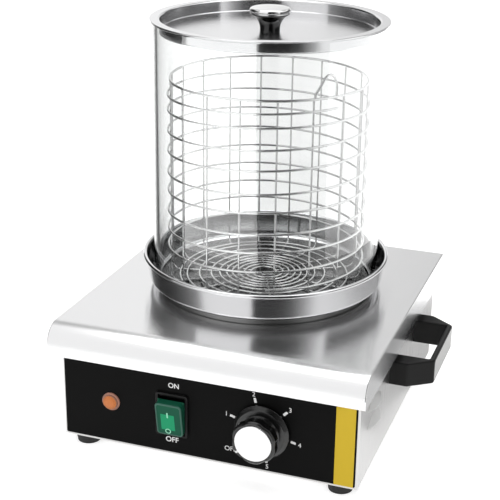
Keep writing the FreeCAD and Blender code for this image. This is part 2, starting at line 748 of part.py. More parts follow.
def make_handle(side):
    """One moulded handle: two stubs, slanted shoulders and a straight grip."""
    z = (HANDLE_TOP - HANDLE_H, HANDLE_TOP)
    handle = plate_xy(handle_outline(side), z)
    rims = [e for e in handle.Edges if handle_rim(e, side, z)]
    handle = handle.makeFillet(HANDLE_EDGE_R, rims)
    recess = insert_outline(side, 0)
    cuts = [recess]
    for y, height in handle_screw_places():
        x = mirrored((SIDE - OVER, SIDE + HANDLE_SCREW_L - SHEET + REST_GAP), side)
        cuts.append(bar_x(HANDLE_SCREW_R + THREAD_FIT, x, y, height))
    return handle.cut(Part.makeCompound(cuts))


def handle_rim(edge, side, z):
    """Whether an edge runs round the top or bottom of a handle, away from the body."""
    points = [edge.valueAt(edge.FirstParameter), edge.valueAt(edge.LastParameter)]
    level = abs(points[0].z - points[1].z) < HANDLE_EDGE_R / 100
    clear = max(side * p.x for p in points) > SIDE + HANDLE_EDGE_R / 100
    return level and clear


def insert_outline(side, clearance):
    """The block that fills the facing's recess in the grip's outer face."""
    out = SIDE + HANDLE_OUT
    x = mirrored((out - INSERT_T, out), side)
    y = about(HANDLE_Y, HANDLE_GRIP_L - 2 * INSERT_MARGIN - 2 * clearance)
    z = about(HANDLE_TOP - HANDLE_H / 2, HANDLE_H - 2 * INSERT_MARGIN - 2 * clearance)
    return plate_yz(rectangle(y, z, INSERT_R), x)


def make_handle_insert(side):
    """The bright facing let into the grip."""
    return insert_outline(side, WELD_GAP)


def make_handle_screws():
    """Screws that hold both handles from inside the body."""
    screws = []
    wall = SIDE - SHEET
    for side in (-1, 1):
        for y, z in handle_screw_places():
            head = mirrored((wall - SCREW_HEAD_H, wall), side)
            shank = mirrored((wall, wall + HANDLE_SCREW_L), side)
            screws.append(one_solid([bar_x(SCREW_HEAD_R, head, y, z), bar_x(HANDLE_SCREW_R, shank, y, z)]))
    return Part.makeCompound(screws)


# Feet

def make_feet():
    """Four tapered feet with a recess for the screw head."""
    feet = []
    for x, y in foot_places():
        cone = Part.makeCone(FOOT_R, FOOT_TOP_R, FOOT_H, V(x, y, 0))
        recess = post(FOOT_RECESS_R, (-OVER, FOOT_RECESS_D), x, y)
        bore = post(FOOT_SCREW_R + HOLE_CLEAR, (-OVER, FOOT_H + OVER), x, y)
        feet.append(cone.cut(recess).cut(bore))
    return Part.makeCompound(feet)


def make_foot_screws():
    """Screws up through the feet, bottom plate and flange."""
    screws = []
    top = FLANGE_TOP + FOOT_NUT_H + FOOT_SCREW_PAST
    for x, y in foot_places():
        head = post(FOOT_SCREW_HEAD_R, (FOOT_RECESS_D - FOOT_SCREW_HEAD_H, FOOT_RECESS_D), x, y)
        screws.append(one_solid([head, post(FOOT_SCREW_R, (FOOT_RECESS_D, top), x, y)]))
    return Part.makeCompound(screws)


def make_foot_nuts():
    """Nuts of the foot screws, on the flange."""
    z = (FLANGE_TOP, FLANGE_TOP + FOOT_NUT_H)
    bore = (z[0] - OVER, z[1] + OVER)
    return Part.makeCompound([hexagon(NUT_ACROSS, z, x, y).cut(post(FOOT_SCREW_R + THREAD_FIT, bore, x, y))
                              for x, y in foot_places()])


# Heater

def make_heater_plate():
    """A cast plate that rises through the cover and carries the pan."""
    disc = turned([(0, HEATER_UNDER, 0), (PLATE_FLANGE_R, HEATER_UNDER, 0), (PLATE_FLANGE_R, COVER_UNDER, 0),
                   (PLATE_R, COVER_UNDER, 0), (PLATE_R, PAN_Z, PLATE_EDGE_R), (0, PAN_Z, 0)])
    stud = post(PLATE_STUD_R, (HEATER_UNDER - PLATE_STUD_L, HEATER_UNDER + OVER), 0, PAN_Y)
    tapped = (HEATER_UNDER - OVER, HEATER_UNDER + PLATE_FLANGE_T - TAP_FLOOR)
    holes = [post(SHIELD_SCREW_R + THREAD_FIT, tapped, x, y) for x, y in spacer_places()]
    return one_solid([disc, stud]).cut(Part.makeCompound(holes))


def spacer_places():
    """The middles of the spacers round the shield."""
    step = 2 * math.pi / SPACERS
    return [(SPACER_RING_R * math.cos(step * (k + 0.5)), PAN_Y + SPACER_RING_R * math.sin(step * (k + 0.5)))
            for k in range(SPACERS)]


def element_bends():
    """The two ends of the element's path, each a quarter bend and a straight drop, and the ring between."""
    half = math.radians(ELEMENT_GAP_DEG / 2)
    bend = math.asin(ELEMENT_BEND_R / ELEMENT_R) / 2
    ends = []
    for angle, sign in ((math.radians(-90) + half + bend, -1), (math.radians(270) - half - bend, 1)):
        heading = V(-math.sin(angle) * sign, math.cos(angle) * sign, 0)
        near = on_axis(ELEMENT_R, math.degrees(angle), ELEMENT_Z)
        centre = near - V(0, 0, ELEMENT_BEND_R)
        slant = math.sqrt(0.5) * ELEMENT_BEND_R
        middle = centre + heading * slant + V(0, 0, slant)
        far = centre + heading * ELEMENT_BEND_R
        low = V(far.x, far.y, ELEMENT_PIN_Z)
        ends.append((near, Part.Arc(near, middle, far).toShape(), Part.LineSegment(far, low).toShape(), low))
    return ends


def element_pins():
    """The ends of the element's tube in space, right one first."""
    return [end[-1] for end in element_bends()]


def make_heating_element():
    """A sheathed ring element, open at the front, its ends turned down."""
    (first, first_arc, first_drop, _), (last, last_arc, last_drop, _) = element_bends()
    ring = Part.Arc(first, on_axis(ELEMENT_R, 90, ELEMENT_Z), last).toShape()
    return swept(Part.Wire([first_drop, first_arc, ring, last_arc, last_drop]), ELEMENT_WIRE_R)


def element_passages():
    """The room round the element's ends where they pass the pieces below it."""
    radius = ELEMENT_WIRE_R + HEATER_ROOM
    return [swept(Part.Wire([arc, drop]), radius) for _, arc, drop, _ in element_bends()]


def make_element_clamp():
    """The plate that holds the element up against the heater plate."""
    z = (CLAMP_TOP - CLAMP_T, CLAMP_TOP)
    hole_z = (z[0] - OVER, z[1] + OVER)
    cuts = [post(PLATE_STUD_R + HOLE_CLEAR, hole_z, 0, PAN_Y)]
    cuts += element_passages()
    return post(CLAMP_R, z, 0, PAN_Y).cut(Part.makeCompound(cuts))


def make_clamp_nut():
    """The nut under the element clamp."""
    z = (CLAMP_TOP - CLAMP_T - CLAMP_NUT_H, CLAMP_TOP - CLAMP_T)
    return hexagon(CLAMP_NUT_ACROSS, z, 0, PAN_Y).cut(
        post(PLATE_STUD_R + THREAD_FIT, (z[0] - OVER, z[1] + OVER), 0, PAN_Y))


def heater_passages(z):
    """The ways of the element's ends and the cut-out through the pad or shield."""
    return element_passages() + [post(CUTOUT_R + HEATER_ROOM, z, CUTOUT_X, PAN_Y)]


def make_insulation_pad():
    """Mineral wool between the element clamp and the shield."""
    z = (SHIELD_TOP, PAD_TOP)
    hole_z = (z[0] - OVER, z[1] + OVER)
    cuts = heater_passages(hole_z) + [post(PAD_HOLE_R, hole_z, 0, PAN_Y)]
    return post(PAD_R, z, 0, PAN_Y).cut(Part.makeCompound(cuts))


def make_heat_shield():
    """A flanged sheet disc under the wool."""
    low = SHIELD_TOP - SHIELD_LIP
    under = SHIELD_TOP - SHEET
    pan = turned([(0, under, 0), (SHIELD_R - SHEET, under, BEND_R - SHEET), (SHIELD_R - SHEET, low, 0),
                  (SHIELD_R, low, 0), (SHIELD_R, SHIELD_TOP, BEND_R), (0, SHIELD_TOP, 0)])
    hole_z = (under - OVER, SHIELD_TOP + OVER)
    cuts = heater_passages(hole_z)
    cuts += [post(SHIELD_SCREW_R + HOLE_CLEAR, hole_z, x, y) for x, y in spacer_places()]
    return pan.cut(Part.makeCompound(cuts))


def make_shield_spacers():
    """Spacers between the heater plate's flange and the shield."""
    z = (SHIELD_TOP, HEATER_UNDER)
    bore = (z[0] - OVER, z[1] + OVER)
    return Part.makeCompound([post(SPACER_R, z, x, y).cut(post(SHIELD_SCREW_R + HOLE_CLEAR, bore, x, y))
                              for x, y in spacer_places()])


def make_shield_screws():
    """Long screws up through the shield and spacers into the heater plate."""
    screws = []
    under = SHIELD_TOP - SHEET
    top = HEATER_UNDER + PLATE_FLANGE_T - TAP_FLOOR - REST_GAP
    for x, y in spacer_places():
        head = post(SCREW_HEAD_R, (under - SCREW_HEAD_H, under), x, y)
        screws.append(one_solid([head, post(SHIELD_SCREW_R, (under, top), x, y)]))
    return Part.makeCompound(screws)


def make_thermal_cutout():
    """A round overheat cut-out on the element clamp, with two pins."""
    top = CLAMP_TOP - CLAMP_T
    low = top - CUTOUT_H
    can = post(CUTOUT_R, (low, top), CUTOUT_X, PAN_Y)
    pin_z = (low - CUTOUT_PIN_L, low)
    pins = [post(CUTOUT_PIN_R, pin_z, CUTOUT_X + s * CUTOUT_PIN_X, PAN_Y) for s in (-1, 1)]
    return one_solid([can] + pins)


def cutout_pin(sign):
    """The lower end of one pin of the cut-out."""
    return V(CUTOUT_X + sign * CUTOUT_PIN_X, PAN_Y, CLAMP_TOP - CLAMP_T - CUTOUT_H - CUTOUT_PIN_L)


def bulb_z():
    """The height of the sensor bulb's axis under the heater plate."""
    return HEATER_UNDER - REST_GAP - BULB_R


def make_sensor_bulb():
    """The thermostat's bulb, under the heater plate."""
    return bar_y(BULB_R, about(PAN_Y, BULB_L), BULB_X, bulb_z())


def make_capillary_tube():
    """The thin tube from the bulb, forward under the plate and down to the thermostat."""
    start = V(BULB_X, PAN_Y - BULB_L / 2, bulb_z())
    stat_top = DIAL_Z + STAT_H / 2
    x, y = DIAL_X - STAT_SCREW_X, STAT_BACK - STAT_D / 2
    edge = PAN_Y - PLATE_FLANGE_R
    inside = V(BULB_X, edge + CAPILLARY_INSET, start.z)
    past = V(BULB_X + CAPILLARY_SLIP, edge - CAPILLARY_ROOM, LIP_Z + CAPILLARY_ROOM)
    above = V(x, y, stat_top + STAT_D / 2)
    return wire_run([start, inside, past, above, V(x, y, stat_top)], CAPILLARY_R)


# Thermostat and knob

def make_thermostat_body():
    """The thermostat's case behind the panel, with its bush and two blades."""
    y = (FRONT + SHEET, STAT_BACK)
    case = block(about(DIAL_X, STAT_W), y, about(DIAL_Z, STAT_H))
    bush = bar_y(BUSH_R, (FRONT + SHEET - BUSH_L, FRONT + SHEET), DIAL_X, DIAL_Z)
    blades = [block(about(x, BLADE_W), (STAT_BACK, STAT_BACK + BLADE_L), about(z, BLADE_T))
              for x, z in stat_blades()]
    solid = one_solid([case, bush] + blades)
    bore = bar_y(SHAFT_R + RUN_FIT, (FRONT - BUSH_L - OVER, FRONT + SHAFT_IN + REST_GAP), DIAL_X, DIAL_Z)
    screws = [bar_y(STAT_SCREW_R + THREAD_FIT, (FRONT, FRONT + SHAFT_IN), DIAL_X + s * STAT_SCREW_X, DIAL_Z)
              for s in (-1, 1)]
    return solid.cut(Part.makeCompound([bore] + screws))


def stat_blades():
    """The places of the thermostat's two blades on its back."""
    return [(DIAL_X - STAT_W / 4, DIAL_Z - BLADE_Z), (DIAL_X + STAT_W / 4, DIAL_Z - BLADE_Z)]


def make_thermostat_screws():
    """Two screws from the front, under the knob, into the thermostat."""
    screws = []
    for s in (-1, 1):
        x = DIAL_X + s * STAT_SCREW_X
        head = bar_y(STAT_SCREW_HEAD_R, (PANEL - STAT_SCREW_HEAD_H, PANEL), x, DIAL_Z)
        shank = bar_y(STAT_SCREW_R, (PANEL, FRONT + SHAFT_IN - REST_GAP), x, DIAL_Z)
        screws.append(one_solid([head, shank]))
    return Part.makeCompound(screws)


def flatted_bar(radius, y):
    """A bar along the dial's axis with one flat."""
    rod = bar_y(radius, y, DIAL_X, DIAL_Z)
    flat_z = DIAL_Z + radius - SHAFT_FLAT
    beside = block(about(DIAL_X, 4 * radius), (y[0] - OVER, y[1] + OVER), (flat_z, flat_z + 2 * radius))
    return rod.cut(beside)


def make_thermostat_shaft():
    """The thermostat's shaft: round in its bush, flatted in the knob."""
    neck = FRONT - BUSH_L + SHEET
    tip = DIAL_FRONT + DIAL_BEVEL + CAP_T + REST_GAP
    plain = bar_y(SHAFT_R, (neck, FRONT + SHAFT_IN), DIAL_X, DIAL_Z)
    return one_solid([plain, flatted_bar(SHAFT_R, (tip, neck))])


def make_thermostat_knob():
    """The dark knob: a sloped skirt, a drawn-in neck and a scalloped grip."""
    back = PANEL - DIAL_GAP
    front = DIAL_FRONT + CAP_SEAT
    grip_back = DIAL_FRONT + DIAL_GRIP_T
    skirt = back - DIAL_SKIRT_T
    edge = DIAL_EDGE_R
    knob = turned_y([(0, back, 0), (DIAL_SKIRT_R, back, 0),
                     (DIAL_SKIRT_R, back - DIAL_SKIRT_T / 2, DIAL_RIM_R), (DIAL_SKIRT_TOP_R, skirt, edge),
                     (DIAL_NECK_R, skirt - DIAL_STEP, edge),
                     (DIAL_NECK_R, grip_back + DIAL_STEP, edge), (DIAL_GRIP_R, grip_back - DIAL_STEP, edge),
                     (DIAL_GRIP_R, DIAL_FRONT + DIAL_BEVEL, edge), (DIAL_FACE_R, front, DIAL_RIM_R),
                     (0, front, 0)], DIAL_X, DIAL_Z)
    scallops = []
    reach = DIAL_GRIP_R + DIAL_SCALLOP_R - DIAL_SCALLOP_DEPTH
    for k in range(DIAL_LOBES):
        angle = 2 * math.pi * k / DIAL_LOBES
        scallops.append(bar_y(DIAL_SCALLOP_R, (DIAL_FRONT - OVER, skirt - DIAL_STEP),
                              DIAL_X + reach * math.cos(angle), DIAL_Z + reach * math.sin(angle)))
    bore = flatted_bar(SHAFT_R + RUN_FIT, (DIAL_FRONT + DIAL_BEVEL + CAP_T, back + OVER))
    bush_room = bar_y(BUSH_R + DIAL_ROOM, (FRONT - BUSH_L, back + OVER), DIAL_X, DIAL_Z)
    seat = bar_y(CAP_R + WELD_GAP, (DIAL_FRONT - OVER, DIAL_FRONT + CAP_T), DIAL_X, DIAL_Z)
    return knob.cut(Part.makeCompound(scallops + [bore, bush_room, seat]))


def make_knob_cap():
    """The bright disc let into the knob's front."""
    cap = bar_y(CAP_R, (DIAL_FRONT, DIAL_FRONT + CAP_T), DIAL_X, DIAL_Z)
    rim = [e for e in cap.Edges if abs(e.CenterOfMass.y - DIAL_FRONT) < WELD_GAP and e.Length > CAP_R]
    return cap.makeFillet(CAP_T / 4, rim)


# Rocker switch

def make_switch_housing():
    """The switch's bezel and case, with the pocket that the rocker swings in."""
    face = PANEL - BEZEL_T
    bezel = plate_xz(rectangle(about(SWITCH_X, BEZEL_W), about(SWITCH_Z, BEZEL_H), BEZEL_R), (face, PANEL))
    front = [e for e in bezel.Edges if abs(e.BoundBox.YMax - face) < WELD_GAP]
    bezel = bezel.makeFillet(BEZEL_R / 4, front)
    case = plate_xz(rectangle(about(SWITCH_X, SWITCH_BODY_W), about(SWITCH_Z, SWITCH_BODY_H), BEZEL_R / 2),
                    (PANEL, SWITCH_BACK))
    half_h = rocker_swing() + ROCKER_GAP
    pocket = block(about(SWITCH_X, ROCKER_W + 2 * ROCKER_GAP), (face - OVER, FRONT + SWITCH_POCKET_D),
                   about(SWITCH_Z, 2 * half_h))
    pin_x = about(SWITCH_X, SWITCH_BODY_W + OVER)
    pin = bar_x(PIVOT_R + THREAD_FIT / 2, pin_x, FRONT + ROCKER_PIVOT_IN, SWITCH_Z)
    return one_solid([bezel, case]).cut(Part.makeCompound([pocket, pin]))


def rocker_swing():
    """How far the rocker's face corners reach up or down as it tilts."""
    tilt = math.radians(ROCKER_TILT_DEG)
    return ROCKER_H / 2 * math.cos(tilt) + ROCKER_FACE * math.sin(tilt)


def make_switch_rocker():
    """The green rocker, tilted with its lower end pressed in."""
    pivot = FRONT + ROCKER_PIVOT_IN
    half = ROCKER_H / 2
    face = pivot - ROCKER_FACE
    hollow = ROCKER_FACE * ROCKER_DISH_SHARE
    low = [(pivot + ROCKER_BACK, -ROCKER_BACK_H / 2), (face + ROCKER_SIDE, -half), (face, -half)]
    x0 = SWITCH_X - ROCKER_W / 2
    points = [V(x0, y, SWITCH_Z + z) for y, z in low + [(y, -z) for y, z in reversed(low)]]
    dish = Part.Arc(points[2], V(x0, face + hollow, SWITCH_Z), points[3]).toShape()
    edges = Part.makePolygon(points[3:] + points[:3]).Edges + [dish]
    rocker = Part.Face(Part.Wire(edges)).extrude(V(ROCKER_W, 0, 0))
    corners = [e for e in rocker.Edges if e.BoundBox.YMax < face + ROCKER_SIDE + WELD_GAP
               and e.BoundBox.ZLength < WELD_GAP and e.BoundBox.XLength < WELD_GAP]
    rocker = rocker.makeFillet(ROCKER_CORNER_R, corners)
    front = [e for e in rocker.Edges if e.BoundBox.YMax < face + hollow + WELD_GAP]
    rocker = rocker.makeFillet(ROCKER_EDGE_R, front)
    rocker = rocker.cut(bar_x(PIVOT_R + RUN_FIT, about(SWITCH_X, ROCKER_W + 2 * OVER), pivot, SWITCH_Z))
    rocker.rotate(V(SWITCH_X, pivot, SWITCH_Z), V(1, 0, 0), ROCKER_TILT_DEG)
    return rocker


def make_switch_pivot_pin():
    """The pin that the rocker turns on."""
    return bar_x(PIVOT_R, about(SWITCH_X, SWITCH_BODY_W), FRONT + ROCKER_PIVOT_IN, SWITCH_Z)


def switch_blades():
    """The places of the switch's four blades."""
    return [(SWITCH_X + sx * BLADE_X, SWITCH_Z + sz * BLADE_Z) for sx in (-1, 1) for sz in (-1, 1)]


def make_switch_terminals():
    """Four blades on the back of the switch."""
    y = (SWITCH_BACK, SWITCH_BACK + BLADE_L)
    return Part.makeCompound([block(about(x, BLADE_W), y, about(z, BLADE_T)) for x, z in switch_blades()])


# Pilot lamp

def make_pilot_lamp_lens():
    """The domed lens on a low flange."""
    dome = PANEL - LENS_FLANGE_T
    tip = PANEL - LENS_OUT
    rise = dome - tip
    start = V(LAMP_X + LENS_R - LENS_FLANGE_T, dome, LAMP_Z)
    end = V(LAMP_X, tip, LAMP_Z)
    radius = ((start.x - LAMP_X) ** 2 + rise ** 2) / (2 * rise)
    half = math.asin((start.x - LAMP_X) / radius) / 2
    middle = V(LAMP_X + radius * math.sin(half), tip + radius * (1 - math.cos(half)), LAMP_Z)
    rim = LAMP_X + LENS_R
    corners = [V(LAMP_X, PANEL, LAMP_Z), V(rim, PANEL, LAMP_Z), V(rim, dome, LAMP_Z), start]
    edges = [Part.LineSegment(corners[k], corners[k + 1]).toShape() for k in range(3)]
    edges += [Part.Arc(start, middle, end).toShape(), Part.LineSegment(end, corners[0]).toShape()]
    return Part.Face(Part.Wire(edges)).revolve(V(LAMP_X, 0, LAMP_Z), V(0, 1, 0), 360)


def make_pilot_lamp_body():
    """The lamp's barrel behind the panel."""
    return bar_y(LAMP_BODY_R, (PANEL, LAMP_BACK), LAMP_X, LAMP_Z)


def make_lamp_nut():
    """The push-on nut that holds the lamp."""
    y = (FRONT + SHEET, FRONT + SHEET + LAMP_NUT_T)
    return bar_y(LAMP_NUT_R, y, LAMP_X, LAMP_Z).cut(
        bar_y(LAMP_BODY_R + THREAD_FIT, (y[0] - OVER, y[1] + OVER), LAMP_X, LAMP_Z))


# Rear inlet, terminals and earth

def make_cable_gland():
    """The cord's gland on the rear wall, closed by its seal where no cord is fitted."""
    hexed = hexagon_y(GLAND_ACROSS, (REAR, REAR + GLAND_HEX_T), GLAND_X, GLAND_Z)
    nut_end = V(GLAND_X, REAR + GLAND_HEX_T, GLAND_Z)
    dome = Part.makeCone(GLAND_DOME_R, GLAND_DOME_END_R, GLAND_DOME_L, nut_end, V(0, 1, 0))
    barrel = bar_y(GLAND_THREAD_R, (REAR - GLAND_THREAD_L, REAR), GLAND_X, GLAND_Z)
    bore = bar_y(GLAND_BORE_R, (REAR - GLAND_THREAD_L - OVER, GLAND_END + OVER), GLAND_X, GLAND_Z)
    seal = bar_y(GLAND_BORE_R, (REAR, REAR + GLAND_SEAL_T), GLAND_X, GLAND_Z)
    return one_solid([one_solid([hexed, dome, barrel]).cut(bore), seal])


def make_gland_locknut():
    """The nut inside the wall."""
    y = (REAR - SHEET - GLAND_NUT_T, REAR - SHEET)
    return hexagon_y(GLAND_ACROSS, y, GLAND_X, GLAND_Z).cut(
        bar_y(GLAND_THREAD_R + THREAD_FIT, (y[0] - OVER, y[1] + OVER), GLAND_X, GLAND_Z))


def block_poles():
    """The places of the terminal block's poles along X."""
    pitch = BLOCK_W / BLOCK_POLES
    return [BLOCK_X + (k - (BLOCK_POLES - 1) / 2) * pitch for k in range(BLOCK_POLES)]


def make_terminal_block():
    """The block that joins the cord to the inner wires."""
    z = (PLATE_TOP, PLATE_TOP + BLOCK_H)
    body = block(about(BLOCK_X, BLOCK_W), about(BLOCK_Y, BLOCK_D), z)
    wells = [post(BLOCK_WELL_R, (z[1] - BLOCK_WELL_D, z[1] + OVER), x, BLOCK_Y) for x in block_poles()]
    return body.cut(Part.makeCompound(wells))


def make_earth_stud():
    """The earth bolt and its nut on the bottom plate."""
    head = hexagon(EARTH_ACROSS, (FOOT_H - EARTH_NUT_H / 2, FOOT_H), EARTH_X, EARTH_Y)
    bolt = one_solid([head, post(EARTH_R, (FOOT_H, PLATE_TOP + EARTH_L), EARTH_X, EARTH_Y)])
    z = (PLATE_TOP, PLATE_TOP + EARTH_NUT_H)
    nut = hexagon(EARTH_ACROSS, z, EARTH_X, EARTH_Y).cut(
        post(EARTH_R + THREAD_FIT, (z[0] - OVER, z[1] + OVER), EARTH_X, EARTH_Y))
    return Part.makeCompound([bolt, nut])


# Water pan, glass and lid

def make_water_pan():
    """A shallow pan with a rolled bead round its rim."""
    t = PAN_T
    lean = (PAN_RIM_R - PAN_FOOT_R) / (BEAD_Z - PAN_Z)
    pan = turned([(0, PAN_Z, 0), (PAN_FOOT_R, PAN_Z, PAN_CORNER_R), (PAN_RIM_R, BEAD_Z, 0),
                  (PAN_RIM_R - t, BEAD_Z, 0), (PAN_FOOT_R - t + lean * t, PAN_FLOOR, PAN_CORNER_R - t),
                  (0, PAN_FLOOR, 0)])
    bead = Part.makeTorus(PAN_RIM_R + BEAD_R - t, BEAD_R, V(0, PAN_Y, BEAD_Z))
    return one_solid([pan, bead])


def make_glass_cylinder():
    """The heat-proof glass tube."""
    inner = GLASS_R - GLASS_T
    return turned([(inner, GLASS_Z, GLASS_EDGE_R), (GLASS_R, GLASS_Z, GLASS_EDGE_R),
                   (GLASS_R, GLASS_TOP, GLASS_EDGE_R), (inner, GLASS_TOP, GLASS_EDGE_R)])


def make_lid_dish():
    """The pressed lid: a flat brim over the glass and a dished middle."""
    t = LID_T
    top = GLASS_TOP + t
    dish = turned([(0, LID_FLOOR, 0), (LID_WALL_R, LID_FLOOR, LID_BEND_R),
                   (LID_WALL_R, GLASS_TOP, LID_BEND_R - t), (LID_R, GLASS_TOP, LID_EDGE_R),
                   (LID_R, top, LID_EDGE_R), (LID_WALL_R - t, top, LID_BEND_R),
                   (LID_WALL_R - t, LID_FLOOR + t, LID_BEND_R - t), (0, LID_FLOOR + t, 0)])
    hole = post(LID_SCREW_R + HOLE_CLEAR, (LID_FLOOR - OVER, LID_FLOOR + t + OVER), 0, PAN_Y)
    return dish.cut(hole)


def make_lid_knob():
    """A turned mushroom knob, flared from its tapped foot to a low crown."""
    flare, brim, shoulder = (KNOB_H * share for share in
                             (KNOB_FLARE_SHARE, KNOB_BRIM_SHARE, KNOB_SHOULDER_SHARE))
    reach = KNOB_CAP_R - KNOB_FOOT_R
    slant = math.hypot(reach, brim - flare)
    turn = math.atan2(reach, brim - flare)
    flare_r = min(KNOB_FLARE_BEND_SHARE * slant, flare - OVER) / math.tan(turn / 2)
    brim_r = KNOB_BRIM_BEND_SHARE * slant / math.tan(turn / 2)
    outline = [(0, 0, 0), (KNOB_FOOT_R, 0, 0), (KNOB_FOOT_R, flare, flare_r), (KNOB_CAP_R, brim, brim_r),
               (KNOB_CAP_R, shoulder, KNOB_SHOULDER_R), (KNOB_CAP_R * KNOB_CROWN_SHARE, KNOB_H, KNOB_CROWN_R),
               (0, KNOB_H, 0)]
    knob = turned([(r, KNOB_Z + h, bend) for r, h, bend in outline])
    return knob.cut(post(LID_SCREW_R + THREAD_FIT, (KNOB_Z - OVER, KNOB_Z + LID_SCREW_L), 0, PAN_Y))


def make_lid_knob_screw():
    """The screw that holds the knob from under the lid."""
    head = post(LID_SCREW_HEAD_R, (LID_FLOOR - LID_SCREW_HEAD_H, LID_FLOOR), 0, PAN_Y)
    return one_solid([head, post(LID_SCREW_R, (LID_FLOOR, KNOB_Z + LID_SCREW_L - REST_GAP), 0, PAN_Y)])


# Wire basket

def upright_angles():
    """The angles of the upright wires round the basket."""
    return [UPRIGHT_FIRST_DEG + 360 * k / UPRIGHTS for k in range(UPRIGHTS)]


def make_basket_uprights():
    """Straight upright wires from the spokes' turned-up ends to the ring."""
    z = (SPOKE_Z + UPRIGHT_BEND_R, RING_Z - RING_WIRE_R - WELD_GAP)
    feet = [on_axis(UPRIGHT_RING_R, angle, z[0]) for angle in upright_angles()]
    return Part.makeCompound([post(UPRIGHT_R, z, foot.x, foot.y) for foot in feet])


def make_basket_base_spokes():
    """Spokes under the basket, bent up at the rim to meet the uprights."""
    wires = []
    for angle in upright_angles():
        path = rounded_wire([(on_axis(UPRIGHT_RING_R, angle, SPOKE_Z + UPRIGHT_BEND_R), 0),
                             (on_axis(UPRIGHT_RING_R, angle, SPOKE_Z), UPRIGHT_BEND_R),
                             (on_axis(SPOKE_END_R, angle, SPOKE_Z), 0)], False)
        wires.append(swept(path, UPRIGHT_R))
    return Part.makeCompound(wires)


def make_basket_top_ring():
    """The level ring on top of the uprights."""
    return Part.makeTorus(UPRIGHT_RING_R, RING_WIRE_R, V(0, PAN_Y, RING_Z))


def arc_through(start, control, end):
    """The circular arc that is tangent to both legs of an even corner."""
    chord = (start + end) / 2
    weight = math.cos((control - start).getAngle(end - start))
    return Part.Arc(start, (chord + control * weight) / (1 + weight), end).toShape()


def biarc(start, start_way, end, end_way):
    """Two arcs in space that leave and arrive along given directions."""
    gap = end - start
    both = start_way + end_way
    bend = 2 * (1 - start_way.dot(end_way))
    along = gap.dot(both)
    reach = (math.sqrt(along ** 2 + bend * gap.dot(gap)) - along) / bend
    near = start + start_way * reach
    far = end - end_way * reach
    joint = (near + far) / 2
    return [arc_through(start, near, joint), arc_through(joint, far, end)]


def helix_height(turn):
    """The height of the winding after a number of turns."""
    whole = min(int(turn), len(HELIX_RISE_SHARES) - 1)
    rise = sum(HELIX_RISE_SHARES[:whole]) + HELIX_RISE_SHARES[whole] * (turn - whole)
    return HELIX_START_Z + HELIX_RISE * rise


def helix_point(turn):
    """A point of the winding's centre line."""
    return on_axis(HELIX_R, HELIX_START_DEG + 360 * turn, helix_height(turn))


def helix_way(turn, last):
    """The direction of the winding, its slope taken over a half turn each side."""
    low = max(turn - 0.5, 0)
    high = min(turn + 0.5, last)
    slope = (helix_height(high) - helix_height(low)) / ((high - low) * 2 * math.pi)
    angle = math.radians(HELIX_START_DEG + 360 * turn)
    return V(-HELIX_R * math.sin(angle), HELIX_R * math.cos(angle), slope).normalize()


def make_basket_helix():
    """The wire wound round the uprights, one unbroken tube."""
    last = len(HELIX_RISE_SHARES) + HELIX_TAIL_DEG / 360
    knots = [k / 2 for k in range(2 * len(HELIX_RISE_SHARES) + 1)] + [last]
    edges = []
    for a, b in zip(knots, knots[1:]):
        edges += biarc(helix_point(a), helix_way(a, last), helix_point(b), helix_way(b, last))
    least_gap("basket helix", edges, HELIX_WIRE_R, math.pi * HELIX_R)
    return swept(Part.Wire(edges), HELIX_WIRE_R)


def make_basket_base_spiral():
    """The flat spiral on the spokes, one unbroken tube of half-turn arcs."""
    front = [share * SPIRAL_OUTER_R for share in SPIRAL_RADII_SHARES]
    way = V(0, -1, 0)
    side = V(1, 0, 0)
    middle = V(0, PAN_Y, SPIRAL_Z)
    edges = []
    for near, far in zip(front, front[1:]):
        back = (near + far) / 2
        for start, end, sign in ((middle + way * near, middle - way * back, 1),
                                 (middle - way * back, middle + way * far, -1)):
            centre = (start + end) / 2
            radius = (start - end).Length / 2
            edges.append(Part.Arc(start, centre + side * radius * sign, end).toShape())
    least_gap("basket base spiral", edges, SPIRAL_WIRE_R, math.pi * front[0])
    return swept(Part.Wire(edges), SPIRAL_WIRE_R)


def least_gap(name, edges, radius, reach):
    """Print the least gap of a wound tube to itself, measured on points of its centre line."""
    points = []
    run = 0
    steps = 12
    for edge in edges:
        for k in range(steps):
            at = edge.valueAt(edge.FirstParameter + (edge.LastParameter - edge.FirstParameter) * k / steps)
            points.append((run + edge.Length * k / steps, at))
        run += edge.Length
    least = min(p.distanceToPoint(q) for i, (s, p) in enumerate(points)
                for t, q in points[i + 1:] if t - s > reach)
    print("%s: least gap to itself %.2f" % (name, least - 2 * radius))


def make_basket_lift_loop():
    """The wire loop that stands on the ring, for lifting the basket out."""
    base = RING_Z + RING_WIRE_R + WELD_GAP
    points = [on_axis(UPRIGHT_RING_R, LOOP_START_DEG + LOOP_SPAN_DEG * across, base + LOOP_H * up)
              for across, up in zip(LOOP_DEG_SHARES, LOOP_H_SHARES)]
    return wire_run(points, LOOP_WIRE_R)


# Wires inside the base

def blade_tip(place, back):
    """The free end of a blade on a switch or thermostat."""
    return V(place[0], back + BLADE_L, place[1])


def laid_wire(start, leave, end, arrive, lead_shares, route_shares):
    """A wire with a straight lead along a direction at each end and places between them."""
    between = [V(x * SIDE, y * REAR, z * BASE_TOP) for x, y, z in route_shares]
    first = start + leave * lead_shares[0] * BASE_TOP
    last = end + arrive * lead_shares[1] * BASE_TOP
    return wire_run([start, first] + between + [last, end])


def block_end(pole):
    """The front of one pole of the terminal block."""
    return V(block_poles()[pole], BLOCK_Y - BLOCK_D / 2, PLATE_TOP + BLOCK_H / 2)


